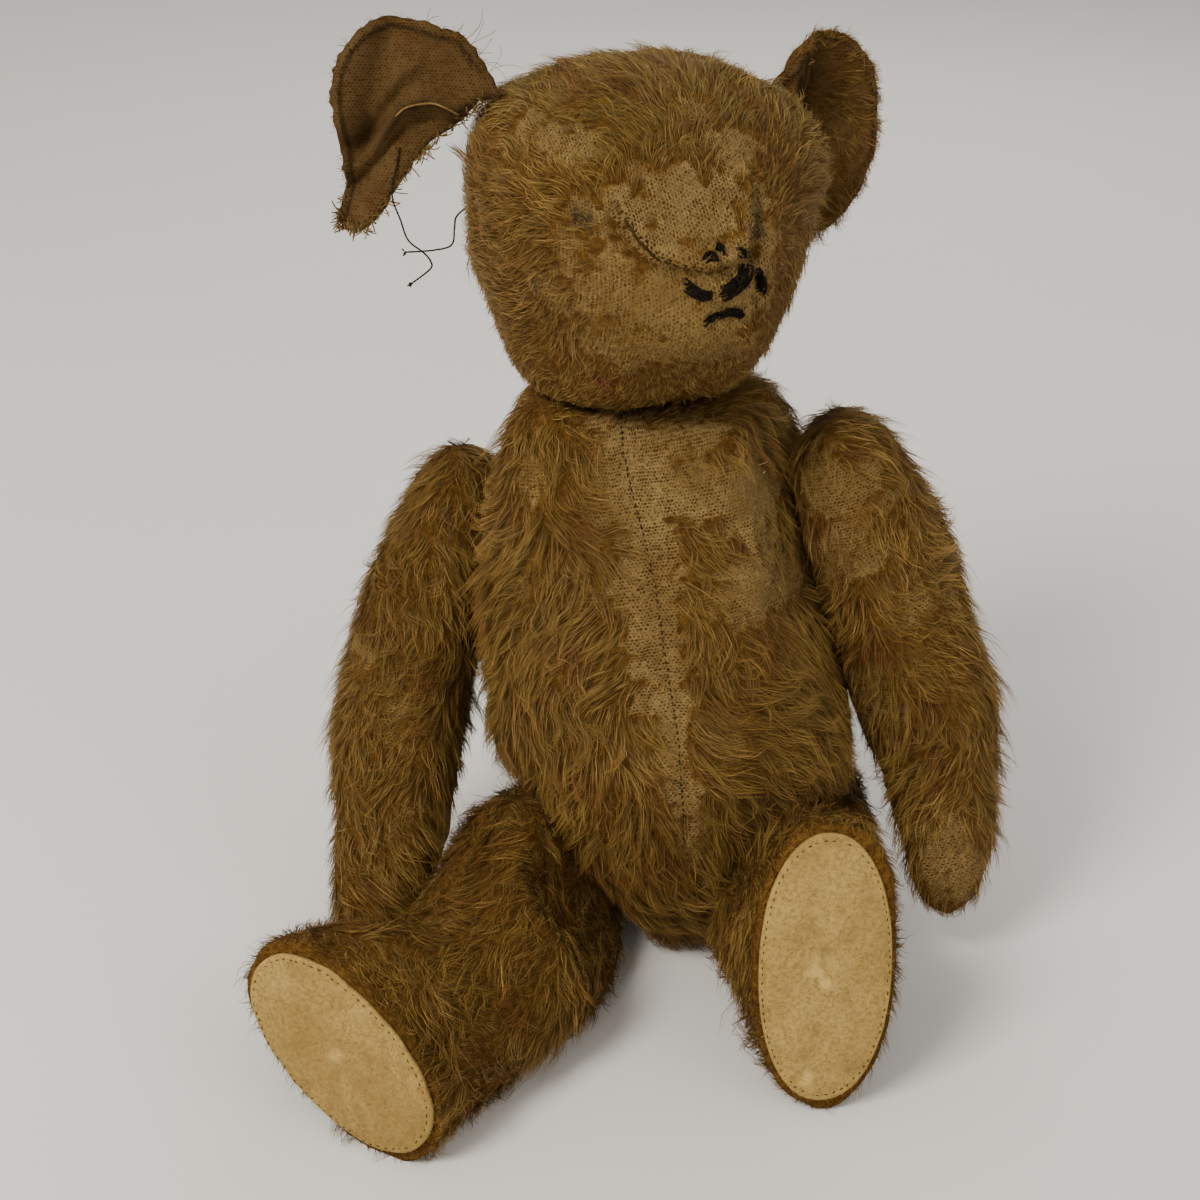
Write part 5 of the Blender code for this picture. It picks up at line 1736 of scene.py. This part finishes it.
def main():
    build_camera()
    build_stage()
    finish_hardware()
    cloth = cloth_material("mohair_backing")
    # A darker copy of the backing for the ears, with painted shade in its colours.
    shaded_ear_cloth = cloth_material("ear_backing_painted_shade", EAR_CLOTH_PALE_SHADED, EAR_CLOTH_DARK_SHADED)
    pile = pile_material("mohair_pile")
    felt = felt_material("worn_felt")
    yarn = plain_material("black_yarn", YARN, (0.012, 0.009, 0.006), 900.0, 0.95, specular=0.04)
    thread = plain_material("dark_thread", THREAD, (0.028, 0.020, 0.010), 900.0, 0.9, specular=0.08)
    fibre = plain_material("loose_fibre", FIBRE, (0.11, 0.062, 0.016), 500.0, 0.8, specular=0.15)
    straw = plain_material("straw", (0.72, 0.58, 0.30), (0.60, 0.45, 0.20), 500.0, 0.6)
    red = plain_material("red_wool", (0.17, 0.018, 0.012), (0.09, 0.009, 0.007), 700.0, 0.9)

    skins = {body: base_skin(body) for body in SKINS}
    rough = {body: Surface(made) for body, made in skins.items()}
    for body, made in skins.items():
        finish_skin(body, made, [s for b, s in rough.items() if b != body], cloth)
    surfaces = {body: Surface(made) for body, made in skins.items()}
    for seed, (body, surface) in enumerate(surfaces.items()):
        others = [s for b, s in surfaces.items() if b != body]
        style = limb_style(body) if "_" in body else STYLES[body]
        grow(body, body, surface, others, style, pile, 100 + seed)
        grow_fuzz(body, surface, FUZZ[body], pile, 200 + seed)

    fronts = build_ears(shaded_ear_cloth, pile, thread, fibre)
    for seed, (name, runs) in enumerate(NOSE.items()):
        embroider(name, surfaces["head"], runs, yarn, 20 + seed)
    for name, (length, route) in THREADS.items():
        build_thread(name, length, route, thread)
    nap = pile_material("felt_nap")
    inward = (0, 1, 0)
    seam = [(front_seam(z), -90, z) for z in np.linspace(164, 44, 60)]
    sew("chest_seam", "torso", surfaces["torso"], seam, thread, pitch=2.1, share=0.68, radius=0.21, seed=3,
        toward=inward)
    # The fold and slit lines are dark tubes in the seam_shadow material, sunk in the face seam: painted
    # shadow in its crease.
    dark = (0.055, 0.029, 0.009)
    shadow = plain_material("seam_shadow", (0.034, 0.017, 0.005), dark, 700.0, 0.95, specular=0.05)
    face = [(x, -120, z) for x, z in FACE_SEAM[:5]]
    below = [(x - 0.3, -120, z - 0.9) for x, z in FACE_SEAM[:6]]
    other = [(x, -120, z) for x, z in ((3, 62), (7, 65), (10, 68.5))]
    # Line, material, pitch, share of it that shows, radius, seed and how far sunk.
    face_seams = (
        ("right", face, thread, 2.0, 0.6, 0.2, 4, 0.0),
        ("fold", below, shadow, 2.6, 1.0, 0.34, 15, 0.05),
        ("slit", below[:3], shadow, 2.2, 1.0, 0.5, 16, 0.1),
        ("left", other, thread, 2.0, 0.6, 0.19, 5, 0.0),
    )
    for name, line, *how in face_seams:
        sew(f"face_seam_{name}", "head", surfaces["head"], line, *how, toward=inward)
    pad_stitches = {"pitch": 2.2, "share": 0.45, "radius": 0.12}
    for side in ("right", "left"):
        leg, arm = f"leg_{side}", f"arm_{side}"
        pad, rim = build_sole(leg, skins[leg], felt, SOLE_MARKS[side])
        foot = Surface(pad)
        sew(f"foot_stitches_{side}", leg, foot, rim + rim[:1], thread, **pad_stitches, seed=6)
        pad, rim = build_paw(arm, skins[arm], surfaces[arm], felt)
        sew(f"paw_stitches_{side}", arm, Surface(pad), rim + rim[:1], thread, **pad_stitches, seed=7)
        felt_nap(f"foot_nap_{side}", leg, foot, nap, 90)
    build_frays(surfaces, fronts, fibre, straw, red)


main()
